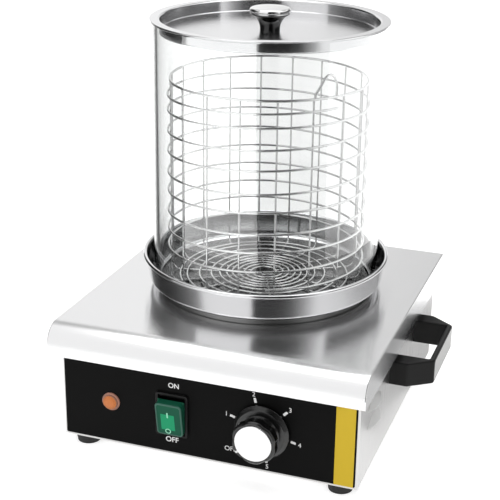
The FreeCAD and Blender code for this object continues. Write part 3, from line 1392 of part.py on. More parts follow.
def make_wire_live():
    """From the terminal block to the switch."""
    end = blade_tip(switch_blades()[0], SWITCH_BACK)
    return laid_wire(block_end(0), V(0, -1, 0), end, V(0, 1, 0), LIVE_LEAD_SHARES, LIVE_ROUTE_SHARES)


def make_wire_neutral():
    """From the terminal block to the element's left end."""
    end = element_pins()[1]
    return laid_wire(block_end(1), V(0, -1, 0), end, V(0, 0, -1), NEUTRAL_LEAD_SHARES, NEUTRAL_ROUTE_SHARES)


def make_wire_thermostat():
    """From the switch to the thermostat."""
    start = blade_tip(switch_blades()[3], SWITCH_BACK)
    end = blade_tip(stat_blades()[0], STAT_BACK)
    return laid_wire(start, V(0, 1, 0), end, V(0, 1, 0), THERMOSTAT_LEAD_SHARES, THERMOSTAT_ROUTE_SHARES)


def make_wire_element():
    """From the thermostat to the overheat cut-out."""
    start = blade_tip(stat_blades()[1], STAT_BACK)
    return laid_wire(start, V(0, 1, 0), cutout_pin(1), V(0, 0, -1), ELEMENT_LEAD_SHARES, ELEMENT_ROUTE_SHARES)


def make_wire_cutout():
    """From the overheat cut-out to the element's right end."""
    end = element_pins()[0]
    return laid_wire(cutout_pin(-1), V(0, 0, -1), end, V(0, 0, -1), CUTOUT_LEAD_SHARES, CUTOUT_ROUTE_SHARES)


def make_wire_lamp():
    """From the lamp to the switch."""
    start = V(LAMP_X, LAMP_BACK, LAMP_Z)
    end = blade_tip(switch_blades()[1], SWITCH_BACK)
    return laid_wire(start, V(0, 1, 0), end, V(0, 1, 0), LAMP_LEAD_SHARES, LAMP_ROUTE_SHARES)


def make_wire_earth():
    """From the terminal block to the earth bolt."""
    end = V(EARTH_X, EARTH_Y - EARTH_ACROSS / 2, PLATE_TOP + EARTH_NUT_H / 2)
    return laid_wire(block_end(2), V(0, -1, 0), end, V(0, -1, 0), EARTH_LEAD_SHARES, EARTH_ROUTE_SHARES)


NODES = {
    "bottom_plate": make_bottom_plate,
    "bottom_screws": make_bottom_screws,
    "body_shell": make_body_shell,
    "top_cover": make_top_cover,
    "cover_nuts": make_cover_nuts,
    "front_overlay": make_front_overlay,
    "overlay_stripe": make_overlay_stripe,
    "handle_right": lambda: make_handle(1),
    "handle_left": lambda: make_handle(-1),
    "handle_insert_right": lambda: make_handle_insert(1),
    "handle_insert_left": lambda: make_handle_insert(-1),
    "handle_screws": make_handle_screws,
    "feet": make_feet,
    "foot_screws": make_foot_screws,
    "foot_nuts": make_foot_nuts,
    "heater_plate": make_heater_plate,
    "heating_element": make_heating_element,
    "element_clamp": make_element_clamp,
    "clamp_nut": make_clamp_nut,
    "insulation_pad": make_insulation_pad,
    "heat_shield": make_heat_shield,
    "shield_spacers": make_shield_spacers,
    "shield_screws": make_shield_screws,
    "thermal_cutout": make_thermal_cutout,
    "sensor_bulb": make_sensor_bulb,
    "capillary_tube": make_capillary_tube,
    "thermostat_body": make_thermostat_body,
    "thermostat_screws": make_thermostat_screws,
    "thermostat_shaft": make_thermostat_shaft,
    "thermostat_knob": make_thermostat_knob,
    "knob_cap": make_knob_cap,
    "switch_housing": make_switch_housing,
    "switch_rocker": make_switch_rocker,
    "switch_pivot_pin": make_switch_pivot_pin,
    "switch_terminals": make_switch_terminals,
    "pilot_lamp_lens": make_pilot_lamp_lens,
    "pilot_lamp_body": make_pilot_lamp_body,
    "lamp_nut": make_lamp_nut,
    "cable_gland": make_cable_gland,
    "gland_locknut": make_gland_locknut,
    "terminal_block": make_terminal_block,
    "earth_stud": make_earth_stud,
    "wire_live": make_wire_live,
    "wire_neutral": make_wire_neutral,
    "wire_thermostat": make_wire_thermostat,
    "wire_element": make_wire_element,
    "wire_cutout": make_wire_cutout,
    "wire_lamp": make_wire_lamp,
    "wire_earth": make_wire_earth,
    "water_pan": make_water_pan,
    "glass_cylinder": make_glass_cylinder,
    "basket_uprights": make_basket_uprights,
    "basket_base_spokes": make_basket_base_spokes,
    "basket_helix": make_basket_helix,
    "basket_top_ring": make_basket_top_ring,
    "basket_base_spiral": make_basket_base_spiral,
    "basket_lift_loop": make_basket_lift_loop,
    "lid_dish": make_lid_dish,
    "lid_knob": make_lid_knob,
    "lid_knob_screw": make_lid_knob_screw,
}

os.makedirs("parts", exist_ok=True)
for name, make in NODES.items():
    shape = make()
    shape.translate(V(0, FRAME_Y, 0))
    shape.exportStep("parts/" + name + ".step")
    box = shape.BoundBox
    print("%-20s solids %d valid %s volume %.0f box %.1f..%.1f %.1f..%.1f %.1f..%.1f" % (
        name, len(shape.Solids), shape.isValid(), shape.Volume,
        box.XMin, box.XMax, box.YMin, box.YMax, box.ZMin, box.ZMax))
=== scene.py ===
"""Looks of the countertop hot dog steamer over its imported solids.

The part's sizes are in millimetres and the studio's in metres, both in the part's frame: +Z is up and
the front faces -Y.
"""

import json
import math

import bmesh
import bpy
from mathutils import Matrix, Vector


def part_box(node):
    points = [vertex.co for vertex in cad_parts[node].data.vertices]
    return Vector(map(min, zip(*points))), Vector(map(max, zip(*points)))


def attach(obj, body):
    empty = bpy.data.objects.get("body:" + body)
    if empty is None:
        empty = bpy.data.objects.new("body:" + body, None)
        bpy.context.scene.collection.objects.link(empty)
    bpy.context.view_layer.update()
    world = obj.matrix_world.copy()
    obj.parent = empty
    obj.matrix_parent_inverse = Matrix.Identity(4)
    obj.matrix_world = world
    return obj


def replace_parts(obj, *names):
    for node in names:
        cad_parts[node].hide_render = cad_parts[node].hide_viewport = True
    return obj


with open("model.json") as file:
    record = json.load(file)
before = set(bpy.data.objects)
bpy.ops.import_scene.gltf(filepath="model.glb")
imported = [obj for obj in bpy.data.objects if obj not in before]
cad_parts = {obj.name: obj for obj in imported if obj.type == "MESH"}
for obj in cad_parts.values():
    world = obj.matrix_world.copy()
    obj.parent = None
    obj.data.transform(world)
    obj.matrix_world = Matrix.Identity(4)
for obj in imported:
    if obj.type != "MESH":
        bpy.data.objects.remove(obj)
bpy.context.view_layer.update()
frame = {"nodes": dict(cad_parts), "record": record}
NODES = frame["nodes"]
MM = 0.001
SCENE = bpy.context.scene

# Places and sizes shared by the pieces

AXIS_Y = 14.45  # the upright axis of the pan, tube, basket and lid
PANEL = -131.2  # the face of the black facing
SWITCH_X = -29.2
SWITCH_Z = 45.8
ROCKER_PIVOT_Y = -127.8
ROCKER_TILT = math.radians(10.0)
DIAL_X = 49.2
DIAL_Z = 46.1
DIAL_BACK = -132.8
LAMP_X = -84.6
LAMP_Z = 47.2
SEGMENTS = 256  # of the large turned pieces


# Meshes

def finish_mesh(bm, name, body, material, sharp=35.0):
    """Turns a bmesh in millimetres into a smooth-shaded piece on a body."""
    bmesh.ops.recalc_face_normals(bm, faces=bm.faces)
    mesh = bpy.data.meshes.new(name)
    bm.to_mesh(mesh)
    bm.free()
    mesh.transform(Matrix.Scale(MM, 4))
    for face in mesh.polygons:
        face.use_smooth = True
    mesh.set_sharp_from_angle(angle=math.radians(sharp))
    mesh.materials.append(material)
    obj = bpy.data.objects.new(name, mesh)
    SCENE.collection.objects.link(obj)
    even = obj.modifiers.new("even_normals", "WEIGHTED_NORMAL")
    even.keep_sharp = True
    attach(obj, body)
    return obj


def rounded(corners, closed, steps=6):
    """Points of an outline whose corners (a, b, radius) are replaced by arcs."""
    points = []
    count = len(corners)
    for i, (a, b, radius) in enumerate(corners):
        here = Vector((a, b))
        if radius <= 0 or (not closed and i in (0, count - 1)):
            points.append(here)
            continue
        before = (Vector(corners[i - 1][:2]) - here).normalized()
        after = (Vector(corners[(i + 1) % count][:2]) - here).normalized()
        half = before.angle(after) / 2
        start = here + before * (radius / math.tan(half))
        middle = here + (before + after).normalized() * (radius / math.sin(half))
        swing = (start - middle).angle_signed(here + after * (radius / math.tan(half)) - middle)
        for k in range(steps + 1):
            spoke = start - middle
            spoke.rotate(Matrix.Rotation(-swing * k / steps, 2))
            points.append(middle + spoke)
    return points


def lathe(bm, outline, place, closed, segments, radius_at=None):
    """Turns (radius, height) points about Z and puts each point through place."""
    rings = []
    for r, h in outline:
        if abs(r) < 1e-6:
            rings.append([bm.verts.new(place(Vector((0, 0, h))))])
            continue
        ring = []
        for k in range(segments):
            turn = 2 * math.pi * k / segments
            reach = radius_at(r, h, turn) if radius_at else r
            ring.append(bm.verts.new(place(Vector((reach * math.cos(turn), reach * math.sin(turn), h)))))
        rings.append(ring)
    pairs = list(zip(rings, rings[1:]))
    if closed:
        pairs.append((rings[-1], rings[0]))
    for low, high in pairs:
        if len(low) == 1 and len(high) == 1:
            continue
        for k in range(segments):
            n = (k + 1) % segments
            if len(low) == 1:
                bm.faces.new((low[0], high[k], high[n]))
            elif len(high) == 1:
                bm.faces.new((low[k], high[0], low[n]))
            else:
                bm.faces.new((low[k], high[k], high[n], low[n]))


def upright(p):
    """A turned point's place about the upright axis."""
    return Vector((p.x, p.y + AXIS_Y, p.z))


def facing(x, y, z):
    """A place whose local +Z points to the front, -Y, from a point."""
    return lambda p: Vector((x + p.x, y - p.z, z + p.y))


def turned(name, corners, body, material, place, closed=False, steps=6, segments=SEGMENTS, radius_at=None):
    """A turned piece from a rounded outline of (radius, height, corner radius)."""
    bm = bmesh.new()
    points = [(p.x, p.y) for p in rounded(corners, closed, steps)]
    lathe(bm, points, place, closed, segments, radius_at)
    return finish_mesh(bm, name, body, material)


def rounded_rectangle(width, height, radius, steps):
    """The loop of a rounded rectangle about its middle."""
    w, h = width / 2, height / 2
    corners = [(-w, -h, radius), (w, -h, radius), (w, h, radius), (-w, h, radius)]
    return rounded(corners, True, steps)


def loft(bm, loops, cap_start=True, cap_end=True):
    """Faces between loops of the same number of points."""
    rings = [[bm.verts.new(p) for p in loop] for loop in loops]
    count = len(rings[0])
    for low, high in zip(rings, rings[1:]):
        for k in range(count):
            n = (k + 1) % count
            bm.faces.new((low[k], low[n], high[n], high[k]))
    if cap_start:
        bm.faces.new(rings[0])
    if cap_end:
        bm.faces.new(rings[-1])


def tube(bm, path, radius, sides=14, closed=False):
    """A round tube along points, with flat ends."""
    count = len(path)
    normal = None
    loops = []
    for i, point in enumerate(path):
        if closed:
            ahead = path[(i + 1) % count] - path[i - 1]
        else:
            ahead = path[min(i + 1, count - 1)] - path[max(i - 1, 0)]
        ahead.normalize()
        if normal is None:
            normal = ahead.orthogonal().normalized()
        normal = (normal - ahead * normal.dot(ahead)).normalized()
        other = ahead.cross(normal)
        loops.append([point + (normal * math.cos(t) + other * math.sin(t)) * radius
                      for t in (2 * math.pi * k / sides for k in range(sides))])
    if closed:
        loops.append(loops[0])
        rings = [[bm.verts.new(p) for p in loop] for loop in loops[:-1]]
        for low, high in zip(rings, rings[1:] + rings[:1]):
            for k in range(sides):
                n = (k + 1) % sides
                bm.faces.new((low[k], low[n], high[n], high[k]))
    else:
        loft(bm, loops)


def around(radius, degrees, z):
    """A point at a radius and angle about the upright axis."""
    turn = math.radians(degrees)
    return Vector((radius * math.cos(turn), AXIS_Y + radius * math.sin(turn), z))


# Materials

def add_node(tree, kind, inputs=None, **settings):
    """Adds a shader node, with values or sockets for its inputs."""
    made = tree.nodes.new("ShaderNode" + kind)
    for key, value in settings.items():
        setattr(made, key, value)
    for key, value in (inputs or {}).items():
        if isinstance(value, bpy.types.NodeSocket):
            tree.links.new(value, made.inputs[key])
        else:
            made.inputs[key].default_value = value
    return made


class Shader:
    """A node-based material with one Principled shader."""

    def __init__(self, name, colour, metallic=0.0, roughness=0.5, **sockets):
        self.material = bpy.data.materials.new(name)
        self.material.use_nodes = True
        self.tree = self.material.node_tree
        self.main = self.tree.nodes["Principled BSDF"]
        self.set(Base_Color=(*colour, 1.0), Metallic=metallic, Roughness=roughness, **sockets)
        self.material.diffuse_color = (*colour, 1.0)

    def set(self, **sockets):
        for key, value in sockets.items():
            self.main.inputs[key.replace("_", " ")].default_value = value

    def node(self, kind, inputs=None, **settings):
        return add_node(self.tree, kind, inputs, **settings)

    def link(self, socket, name):
        self.tree.links.new(socket, self.main.inputs[name])

    def place(self, scale, centre=(0, 0, 0)):
        """The object's own coordinates about a centre, scaled along each axis."""
        where = self.node("TexCoord").outputs["Object"]
        moved = self.node("VectorMath", {0: where, 1: centre}, operation="SUBTRACT").outputs[0]
        return self.node("Mapping", {"Vector": moved, "Scale": scale}).outputs[0]

    def noise(self, vector):
        return self.node("TexNoise", {"Vector": vector, "Scale": 1.0, "Detail": 3.0,
                                      "Roughness": 0.6}).outputs["Fac"]

    def ranged(self, factor, low, high):
        """A value from low to high, spread over the part of a noise that is used most."""
        made = self.node("MapRange", {"Value": factor, "From Min": 0.25, "From Max": 0.75,
                                      "To Min": low, "To Max": high})
        return made.outputs["Result"]

    def tinted(self, factor, dark, light):
        mix = self.node("Mix", {"Factor": factor, 6: (*dark, 1.0), 7: (*light, 1.0)}, data_type="RGBA")
        return mix.outputs[2]

    def bump(self, height, distance):
        made = self.node("Bump", {"Height": height, "Distance": distance, "Strength": 1.0})
        self.link(made.outputs["Normal"], "Normal")

    def vary(self, factor, colour, spread, roughness, shares, depth):
        """Lets a factor shift the colour, the roughness and, with a depth, the height."""
        self.link(self.tinted(factor, scaled(colour, 1 - spread), scaled(colour, 1 + spread)), "Base Color")
        self.link(self.ranged(factor, *(roughness * share for share in shares)), "Roughness")
        if depth:
            self.bump(factor, depth)


def grey(value):
    return (value, value, value)


def scaled(colour, share):
    return tuple(min(c * share, 1.0) for c in colour)


METAL_SHARES = (0.8, 1.25)  # how far the roughness of worked metal strays
PLAIN_SHARES = (0.9, 1.1)


def brushed(name, colour, roughness, scale, spread=0.04, depth=0.00002, across=None):
    """Sheet metal with fine streaks; scale is how often they change along each axis.

    Across is the direction at right angles to the grain, in which the gloss is spread.
    """
    made = Shader(name, colour, 1.0, roughness)
    if across:
        made.set(Anisotropic=0.85)
        made.link(made.node("CombineXYZ", dict(enumerate(across))).outputs[0], "Tangent")
    made.vary(made.noise(made.place(scale)), colour, spread, roughness, METAL_SHARES, depth)
    return made.material


def spun(name, colour, roughness, rings=1500.0, spread=0.025, depth=0.000002):
    """Turned metal with fine rings about the upright axis."""
    made = Shader(name, colour, 1.0, roughness)
    where = made.place((1, 1, 1), (0, AXIS_Y * MM, 0))
    parts = made.node("SeparateXYZ", {0: where}).outputs
    flat = made.node("CombineXYZ", {0: parts[0], 1: parts[1]}).outputs[0]
    length = made.node("VectorMath", {0: flat}, operation="LENGTH").outputs["Value"]
    across = made.node("Math", {0: length, 1: rings}, operation="MULTIPLY").outputs[0]
    along = made.node("Math", {0: parts[2], 1: rings}, operation="MULTIPLY").outputs[0]
    streaks = made.noise(made.node("CombineXYZ", {0: across, 1: along}).outputs[0])
    made.vary(streaks, colour, spread, roughness, METAL_SHARES, depth)
    return made.material


def mottled(name, colour, roughness, scale=400.0, spread=0.08, metallic=0.0, depth=0.0, **sockets):
    """Plastic, rubber, cast metal or plated wire with a slight unevenness."""
    made = Shader(name, colour, metallic, roughness, **sockets)
    made.vary(made.noise(made.place((scale, scale, scale))), colour, spread, roughness, PLAIN_SHARES, depth)
    return made.material


TURNED_STEEL = (0.8, 0.8, 0.81)
LOOKS = {
    "cover": brushed("cover_steel", (0.86, 0.86, 0.865), 0.2, (4, 1600, 1600), 0.015, 0.000001, (0, 1, 0)),
    "body_steel": brushed("body_steel", (0.66, 0.655, 0.65), 0.3, (1600, 1600, 6), 0.025, 0.000004),
    # the louvres, pressed in the body's own steel, painted near white and rougher: a painted highlight
    "louvre_painted_highlight": brushed("louvre_painted_highlight", (0.95, 0.95, 0.94), 0.6, (1600, 1600, 6), 0.02, 0.000002),
    "facing_black": mottled("facing_black", grey(0.004), 0.42, 900, 0.1, Specular_IOR_Level=0.06),
    "stripe_yellow": mottled("stripe_yellow", (0.73, 0.51, 0.032), 0.45, 900, 0.03, Specular_IOR_Level=0.25),
    "handle_black": mottled("handle_black", grey(0.008), 0.36, 1500, 0.1, depth=0.00002,
                            Specular_IOR_Level=0.2),
    "handle_facing": brushed("handle_facing", (0.78, 0.78, 0.77), 0.34, (900, 12, 900), 0.04),
    "rubber_black": mottled("rubber_black", grey(0.02), 0.75, 700, 0.15, depth=0.00004),
    "pan_steel": spun("pan_steel", TURNED_STEEL, 0.09),
    # the pan's steel floor painted dark grey: painted shade, the same steel as the wall
    "pan_floor_painted_shade": spun("pan_floor_painted_shade", grey(0.16), 0.22),
    "lid_steel": spun("lid_steel", TURNED_STEEL, 0.12),
    "lid_floor": spun("lid_floor", TURNED_STEEL, 0.2),
    "knob_chrome": mottled("knob_chrome", grey(0.85), 0.06, 300, 0.02, 1.0),
    # the chrome knob's neck painted near black: a painted dark reflection, not a second material
    "knob_neck_painted_reflection": mottled("knob_neck_painted_reflection", grey(0.06), 0.08, 300, 0.05, 1.0),
    "basket_wire": mottled("basket_wire", grey(0.8), 0.08, 500, 0.03, 1.0),
    "heater_metal": mottled("heater_metal", grey(0.32), 0.42, 700, 0.12, 1.0, depth=0.00005),
    "element_metal": mottled("element_metal", grey(0.2), 0.45, 500, 0.15, 1.0),
    "zinc_steel": mottled("zinc_steel", (0.6, 0.61, 0.63), 0.3, 500, 0.06, 1.0),
    "wool": mottled("mineral_wool", (0.72, 0.68, 0.58), 0.95, 900, 0.2, depth=0.0003),
    "cutout_ceramic": mottled("cutout_ceramic", (0.8, 0.78, 0.72), 0.5, 600, 0.05),
    "case_plastic": mottled("case_plastic", grey(0.025), 0.4, 900, 0.1),
    "block_plastic": mottled("block_plastic", (0.75, 0.73, 0.66), 0.5, 600, 0.05),
    "gland_plastic": mottled("gland_plastic", grey(0.02), 0.45, 900, 0.1),
    "terminal_brass": mottled("terminal_brass", (0.75, 0.56, 0.28), 0.3, 500, 0.06, 1.0),
    "dial_black": mottled("dial_black", grey(0.004), 0.24, 700, 0.1, Specular_IOR_Level=0.7),
    "dial_cap": mottled("dial_cap", grey(0.82), 0.22, 600, 0.02, 1.0),
    "wire_brown": mottled("wire_brown", (0.16, 0.06, 0.03), 0.45, 600, 0.08),
    "wire_blue": mottled("wire_blue", (0.03, 0.09, 0.4), 0.45, 600, 0.08),
    "wire_green": mottled("wire_green", (0.05, 0.35, 0.08), 0.45, 600, 0.08),
    "bezel": mottled("switch_bezel", grey(0.008), 0.35, 900, 0.08, Specular_IOR_Level=0.2),
    "print_white": mottled("print_white", grey(0.94), 0.5, 900, 0.02),
    "knob_line": mottled("knob_line", grey(0.94), 0.5, 900, 0.02),
    "mint": mottled("switch_mint", (0.36, 0.85, 0.6), 0.4, 900, 0.03),
    "clear_glass": Shader("clear_glass", (0.985, 0.992, 0.99), 0.0, 0.0, IOR=1.47,
                          Transmission_Weight=1.0).material,
    "rocker_green": mottled("rocker_green", (0.008, 0.1, 0.055), 0.4, 900, 0.08, Specular_IOR_Level=0.15),
    "rocker_window": mottled("rocker_window", (0.012, 0.36, 0.16), 0.35, 900, 0.05, Specular_IOR_Level=0.2),
    # the rocker's rounded rim painted a lighter grey-green: a painted highlight
    "rocker_rim_painted_highlight": mottled("rocker_rim_painted_highlight", (0.05, 0.15, 0.11), 0.35, 900, 0.05, Specular_IOR_Level=0.3),
    "lens_rim": mottled("lens_rim", (0.42, 0.2, 0.14), 0.35, 900, 0.05),
}

lens_look = Shader("lens_amber", (0.8, 0.28, 0.06), 0.0, 0.3)
cells = lens_look.node("TexVoronoi", {"Vector": lens_look.place((1100, 1100, 1100))}).outputs["Distance"]
lens_look.link(lens_look.tinted(cells, (0.86, 0.3, 0.07), (0.6, 0.14, 0.03)), "Base Color")
lens_look.bump(cells, 0.0001)
LOOKS["lens_amber"] = lens_look.material


KEPT_SHARP = math.radians(30)  # the angle at which an edge of a kept solid stays sharp


def dress(node, look):
    """Gives a kept solid its look."""
    mesh = NODES[node].data
    mesh.materials.clear()
    mesh.materials.append(LOOKS[look])
    for face in mesh.polygons:
        face.use_smooth = True
        face.material_index = 0
    mesh.set_sharp_from_angle(angle=KEPT_SHARP)


def second_look(mesh, look, picked):
    """Gives another look to the faces whose middle, in millimetres, a test picks."""
    mesh.materials.append(LOOKS[look])
    for face in mesh.polygons:
        if picked(face.center / MM):
            face.material_index = 1


def off_axis(point):
    """A point's distance from the upright axis."""
    return math.hypot(point.x, point.y - AXIS_Y)


for part in frame["record"]["subparts"]:
    dress(part["node"], part["material_slot"])
dress("top_cover", "cover")
dress("switch_housing", "bezel")

LOUVRE_OUT = 4.3  # a little less than the louvres stand out from the side walls
shell = NODES["body_shell"].data
side_x = max(v.co.x for v in shell.vertices) / MM - LOUVRE_OUT
# the louvres' faces take the painted highlight
second_look(shell, "louvre_painted_highlight", lambda middle: abs(middle.x) > side_x)


# Water pan and glass tube

def make_pan():
    """The pan, with a leaning wall, a rolled bead and a duller floor, painted dark as a painted shade."""
    foot, rim, floor, wall = 103.1, 106.0, 119.1, 0.8
    bead, bead_z, bead_r = 106.95, 142.6, 1.7
    bead_start, bead_turn, bead_steps = -60, 270, 18
    wall_top = bead_z - 1.2
    outer = [(0, floor, 0), (foot, floor, 5.0), (rim, wall_top, 0)]
    points = [(p.x, p.y) for p in rounded(outer, False, 10)]
    for k in range(bead_steps + 1):
        turn = math.radians(bead_start + bead_turn * k / bead_steps)
        points.append((bead + bead_r * math.cos(turn), bead_z + bead_r * math.sin(turn)))
    inner = [(rim - wall, wall_top, 0), (foot - wall, floor + wall, 4.2), (0, floor + wall, 0)]
    points += [(p.x, p.y) for p in rounded(inner, False, 10)]
    bm = bmesh.new()
    lathe(bm, points, upright, False, SEGMENTS)
    made = finish_mesh(bm, "pan_wall", "pan", LOOKS["pan_steel"], 50)
    # the floor inside the pan takes the painted shade
    second_look(made.data, "pan_floor_painted_shade",
                lambda middle: abs(middle.z - floor - wall) < 0.3 and off_axis(middle) < foot)
    return made


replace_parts(make_pan(), "water_pan")

GLASS_R = 99.0
GLASS_BORE_R = 94.5
low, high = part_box("glass_cylinder")
glass_z = (low.z / MM, high.z / MM)
glass_tube = turned("glass_tube", [(GLASS_BORE_R, glass_z[0], 1.2), (GLASS_R, glass_z[0], 1.2),
                                   (GLASS_R, glass_z[1], 1.6), (GLASS_BORE_R, glass_z[1], 1.6)],
                    "glass", LOOKS["clear_glass"], upright, True, 5)
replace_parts(glass_tube, "glass_cylinder")

# Basket: bent uprights, wound wire, ring and spiral

UPRIGHTS = 18
UPRIGHT_START = -66.4
UPRIGHT_WIRE_R = 0.8
WELD_R = 1.0
WELD_STEPS = (0.7, 2.2)  # of the welds' two beads, below the ring's middle
SPOKE_END_R = 12.0
SPOKE_BEND_R = 6.0
SPOKE_Z = 121.0
RING_R = 83.95
RING_Z = 300.0
RING_WIRE_R = 1.1
HELIX_R = 85.85
HELIX_START = -71.4
HELIX_Z = 140.0
HELIX_WIRE_R = 1.0
HELIX_PITCH = 16.5
HELIX_SHARES = (0.98, 1.02, 0.95, 1.15, 0.95, 1.20, 1.03, 1.10, 0.70)  # of the pitch, turn by turn
HELIX_TAIL = 39.4
TURN_STEPS = 144
TAIL_STEPS = 16
SPIRAL_R = 82.0
SPIRAL_SHARES = (0.094, 0.171, 0.238, 0.305, 0.372, 0.433, 0.512, 0.610, 0.744, 0.878, 0.940)
SPIRAL_Z = 122.8
SPIRAL_WIRE_R = 0.9


def smooth_path(corners, steps=8):
    """Points along straight runs with rounded corners (point, radius)."""
    points = []
    for i, (here, radius) in enumerate(corners):
        if radius <= 0 or i in (0, len(corners) - 1):
            points.append(here)
            continue
        before = (corners[i - 1][0] - here).normalized()
        after = (corners[i + 1][0] - here).normalized()
        half = before.angle(after) / 2
        reach = radius / math.tan(half)
        start, end = here + before * reach, here + after * reach
        middle = here + (before + after).normalized() * (radius / math.sin(half))
        for k in range(steps + 1):
            spoke = (start - middle).slerp(end - middle, k / steps)
            points.append(middle + spoke.normalized() * radius)
    return points


def make_uprights():
    """The uprights, each bent in one piece with its spoke and thicker at its weld to the ring."""
    bm = bmesh.new()
    for k in range(UPRIGHTS):
        degrees = UPRIGHT_START + 360.0 / UPRIGHTS * k
        inner = around(SPOKE_END_R, degrees, SPOKE_Z)
        corner = around(RING_R, degrees, SPOKE_Z)
        top = around(RING_R, degrees, RING_Z - RING_WIRE_R)
        tube(bm, smooth_path([(inner, 0), (corner, SPOKE_BEND_R), (top, 0)]), UPRIGHT_WIRE_R)
        for step in WELD_STEPS:
            weld = around(RING_R, degrees, RING_Z - step)
            tube(bm, [weld - Vector((0, 0, 0.8)), weld + Vector((0, 0, 0.2))], WELD_R)
    return finish_mesh(bm, "basket_bars", "basket", LOOKS["basket_wire"])


def make_helix():
    """The wire wound round the uprights, and its last part of a turn."""
    path = []
    z = HELIX_Z
    for turn, share in enumerate(HELIX_SHARES):
        rise = HELIX_PITCH * share
        for k in range(TURN_STEPS):
            degrees = HELIX_START + 360.0 * (turn + k / TURN_STEPS)
            path.append(around(HELIX_R, degrees, z + rise * k / TURN_STEPS))
        z += rise
    end_deg = HELIX_START + 360.0 * len(HELIX_SHARES)
    tail_rise = HELIX_PITCH * HELIX_TAIL / 360 * HELIX_SHARES[-1]
    for k in range(TAIL_STEPS + 1):
        path.append(around(HELIX_R, end_deg + HELIX_TAIL * k / TAIL_STEPS, z + tail_rise * k / TAIL_STEPS))
    bm = bmesh.new()
    tube(bm, path, HELIX_WIRE_R, 12)
    return finish_mesh(bm, "basket_winding", "basket", LOOKS["basket_wire"])


def make_spiral():
    """The flat spiral, whose radius grows evenly over each half turn."""
    front = [SPIRAL_R * share for share in SPIRAL_SHARES]
    radii = []
    for first, second in zip(front, front[1:]):
        radii += [first, (first + second) / 2]
    radii.append(front[-1])
    path = []
    steps = 60
    for i in range(len(radii) - 1):
        for k in range(steps):
            share = k / steps
            degrees = -90.0 + 180.0 * (i + share)
            path.append(around(radii[i] + (radii[i + 1] - radii[i]) * share, degrees, SPIRAL_Z))
    bm = bmesh.new()
    tube(bm, path, SPIRAL_WIRE_R, 12)
    return finish_mesh(bm, "basket_floor_spiral", "basket", LOOKS["basket_wire"])


def make_ring():
    """The top ring."""
    path = [around(RING_R, 360.0 / TURN_STEPS * k, RING_Z) for k in range(TURN_STEPS)]
    bm = bmesh.new()
    tube(bm, path, RING_WIRE_R, 16, True)
    return finish_mesh(bm, "basket_rim", "basket", LOOKS["basket_wire"])


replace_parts(make_uprights(), "basket_uprights", "basket_base_spokes")
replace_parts(make_helix(), "basket_helix")
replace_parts(make_spiral(), "basket_base_spiral")
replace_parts(make_ring(), "basket_top_ring")

# Lid and its knob

lid_low, lid_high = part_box("lid_dish")
LID_FLOOR = lid_low.z / MM
BRIM_TOP = lid_high.z / MM
LID_R = 92.5
LID_BRIM_R = 100.5
LID_T = 1.0
LID_INSIDE = LID_FLOOR + LID_T
lid_outline = [(0, LID_FLOOR, 0), (LID_R, LID_FLOOR, 1.7), (LID_R, BRIM_TOP - LID_T, 1.0),
               (LID_BRIM_R, BRIM_TOP - LID_T, 0.45), (LID_BRIM_R, BRIM_TOP, 0.45),
               (LID_R - LID_T, BRIM_TOP, 2.0), (LID_R - LID_T, LID_INSIDE, 0.7), (0, LID_INSIDE, 0)]
lid = turned("lid_plate", lid_outline, "lid", LOOKS["lid_steel"], upright)
second_look(lid.data, "lid_floor",
            lambda middle: abs(middle.z - LID_INSIDE) < 0.1 and off_axis(middle) < LID_R - LID_T)
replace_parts(lid, "lid_dish")

KNOB_PAINTED_REFLECTION_H = 14.6  # up to where the chrome knob's neck is painted near black, a painted reflection of the dark things it mirrors
knob_levels = [(0, 0, 0), (8.4, 0, 0), (8.4, 8.43, 13.3), (17.3, 13.92, 3.7), (17.3, 18.62, 2.4),
               (6.9, 19.6, 40.0), (0, 19.6, 0)]
lid_knob = turned("lid_knob_turned", [(r, LID_INSIDE + h, bend) for r, h, bend in knob_levels], "lid",
                  LOOKS["knob_chrome"], upright, steps=10, segments=128)
# the knob's lower faces take the painted dark reflection
second_look(lid_knob.data, "knob_neck_painted_reflection", lambda middle: middle.z < LID_INSIDE + KNOB_PAINTED_REFLECTION_H)
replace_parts(lid_knob, "lid_knob")

# Thermostat knob and its bright cap

LOBES = 6
LOBE_DEPTH = 1.0
GRIP_R = 14.0
GRIP_START = 6.2


def scallops(r, h, turn):
    """The grip's radius, drawn in between its lobes."""
    if r < GRIP_R or h < GRIP_START:
        return r
    wave = 0.5 + 0.5 * math.cos(LOBES * turn)
    return r - LOBE_DEPTH * wave ** 3


knob_outline = [(0, 0, 0), (23.6, 0, 0.3), (23.6, 1.6, 1.2), (20.6, 4.6, 1.4), (16.2, 5.4, 0.8),
                (15.2, 7.0, 1.2), (15.2, 11.4, 1.5), (18.8, 13.0, 1.2), (18.8, 19.8, 1.2), (17.6, 21.2, 0.5),
                (15.9, 21.3, 0.2), (15.9, 20.6, 0.1), (0, 20.6, 0)]
on_dial = facing(DIAL_X, DIAL_BACK, DIAL_Z)
dial_knob = turned("dial_knob", knob_outline, "dial", LOOKS["dial_black"], on_dial, segments=240,
                   radius_at=scallops)
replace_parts(dial_knob, "thermostat_knob")

cap = turned("dial_cap", [(0, 20.7, 0), (15.5, 20.7, 0.1), (15.5, 21.9, 0.5), (0, 21.9, 0)], "dial",
             LOOKS["dial_cap"], on_dial, steps=4, segments=160)
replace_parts(cap, "knob_cap")

# Pilot lamp lens

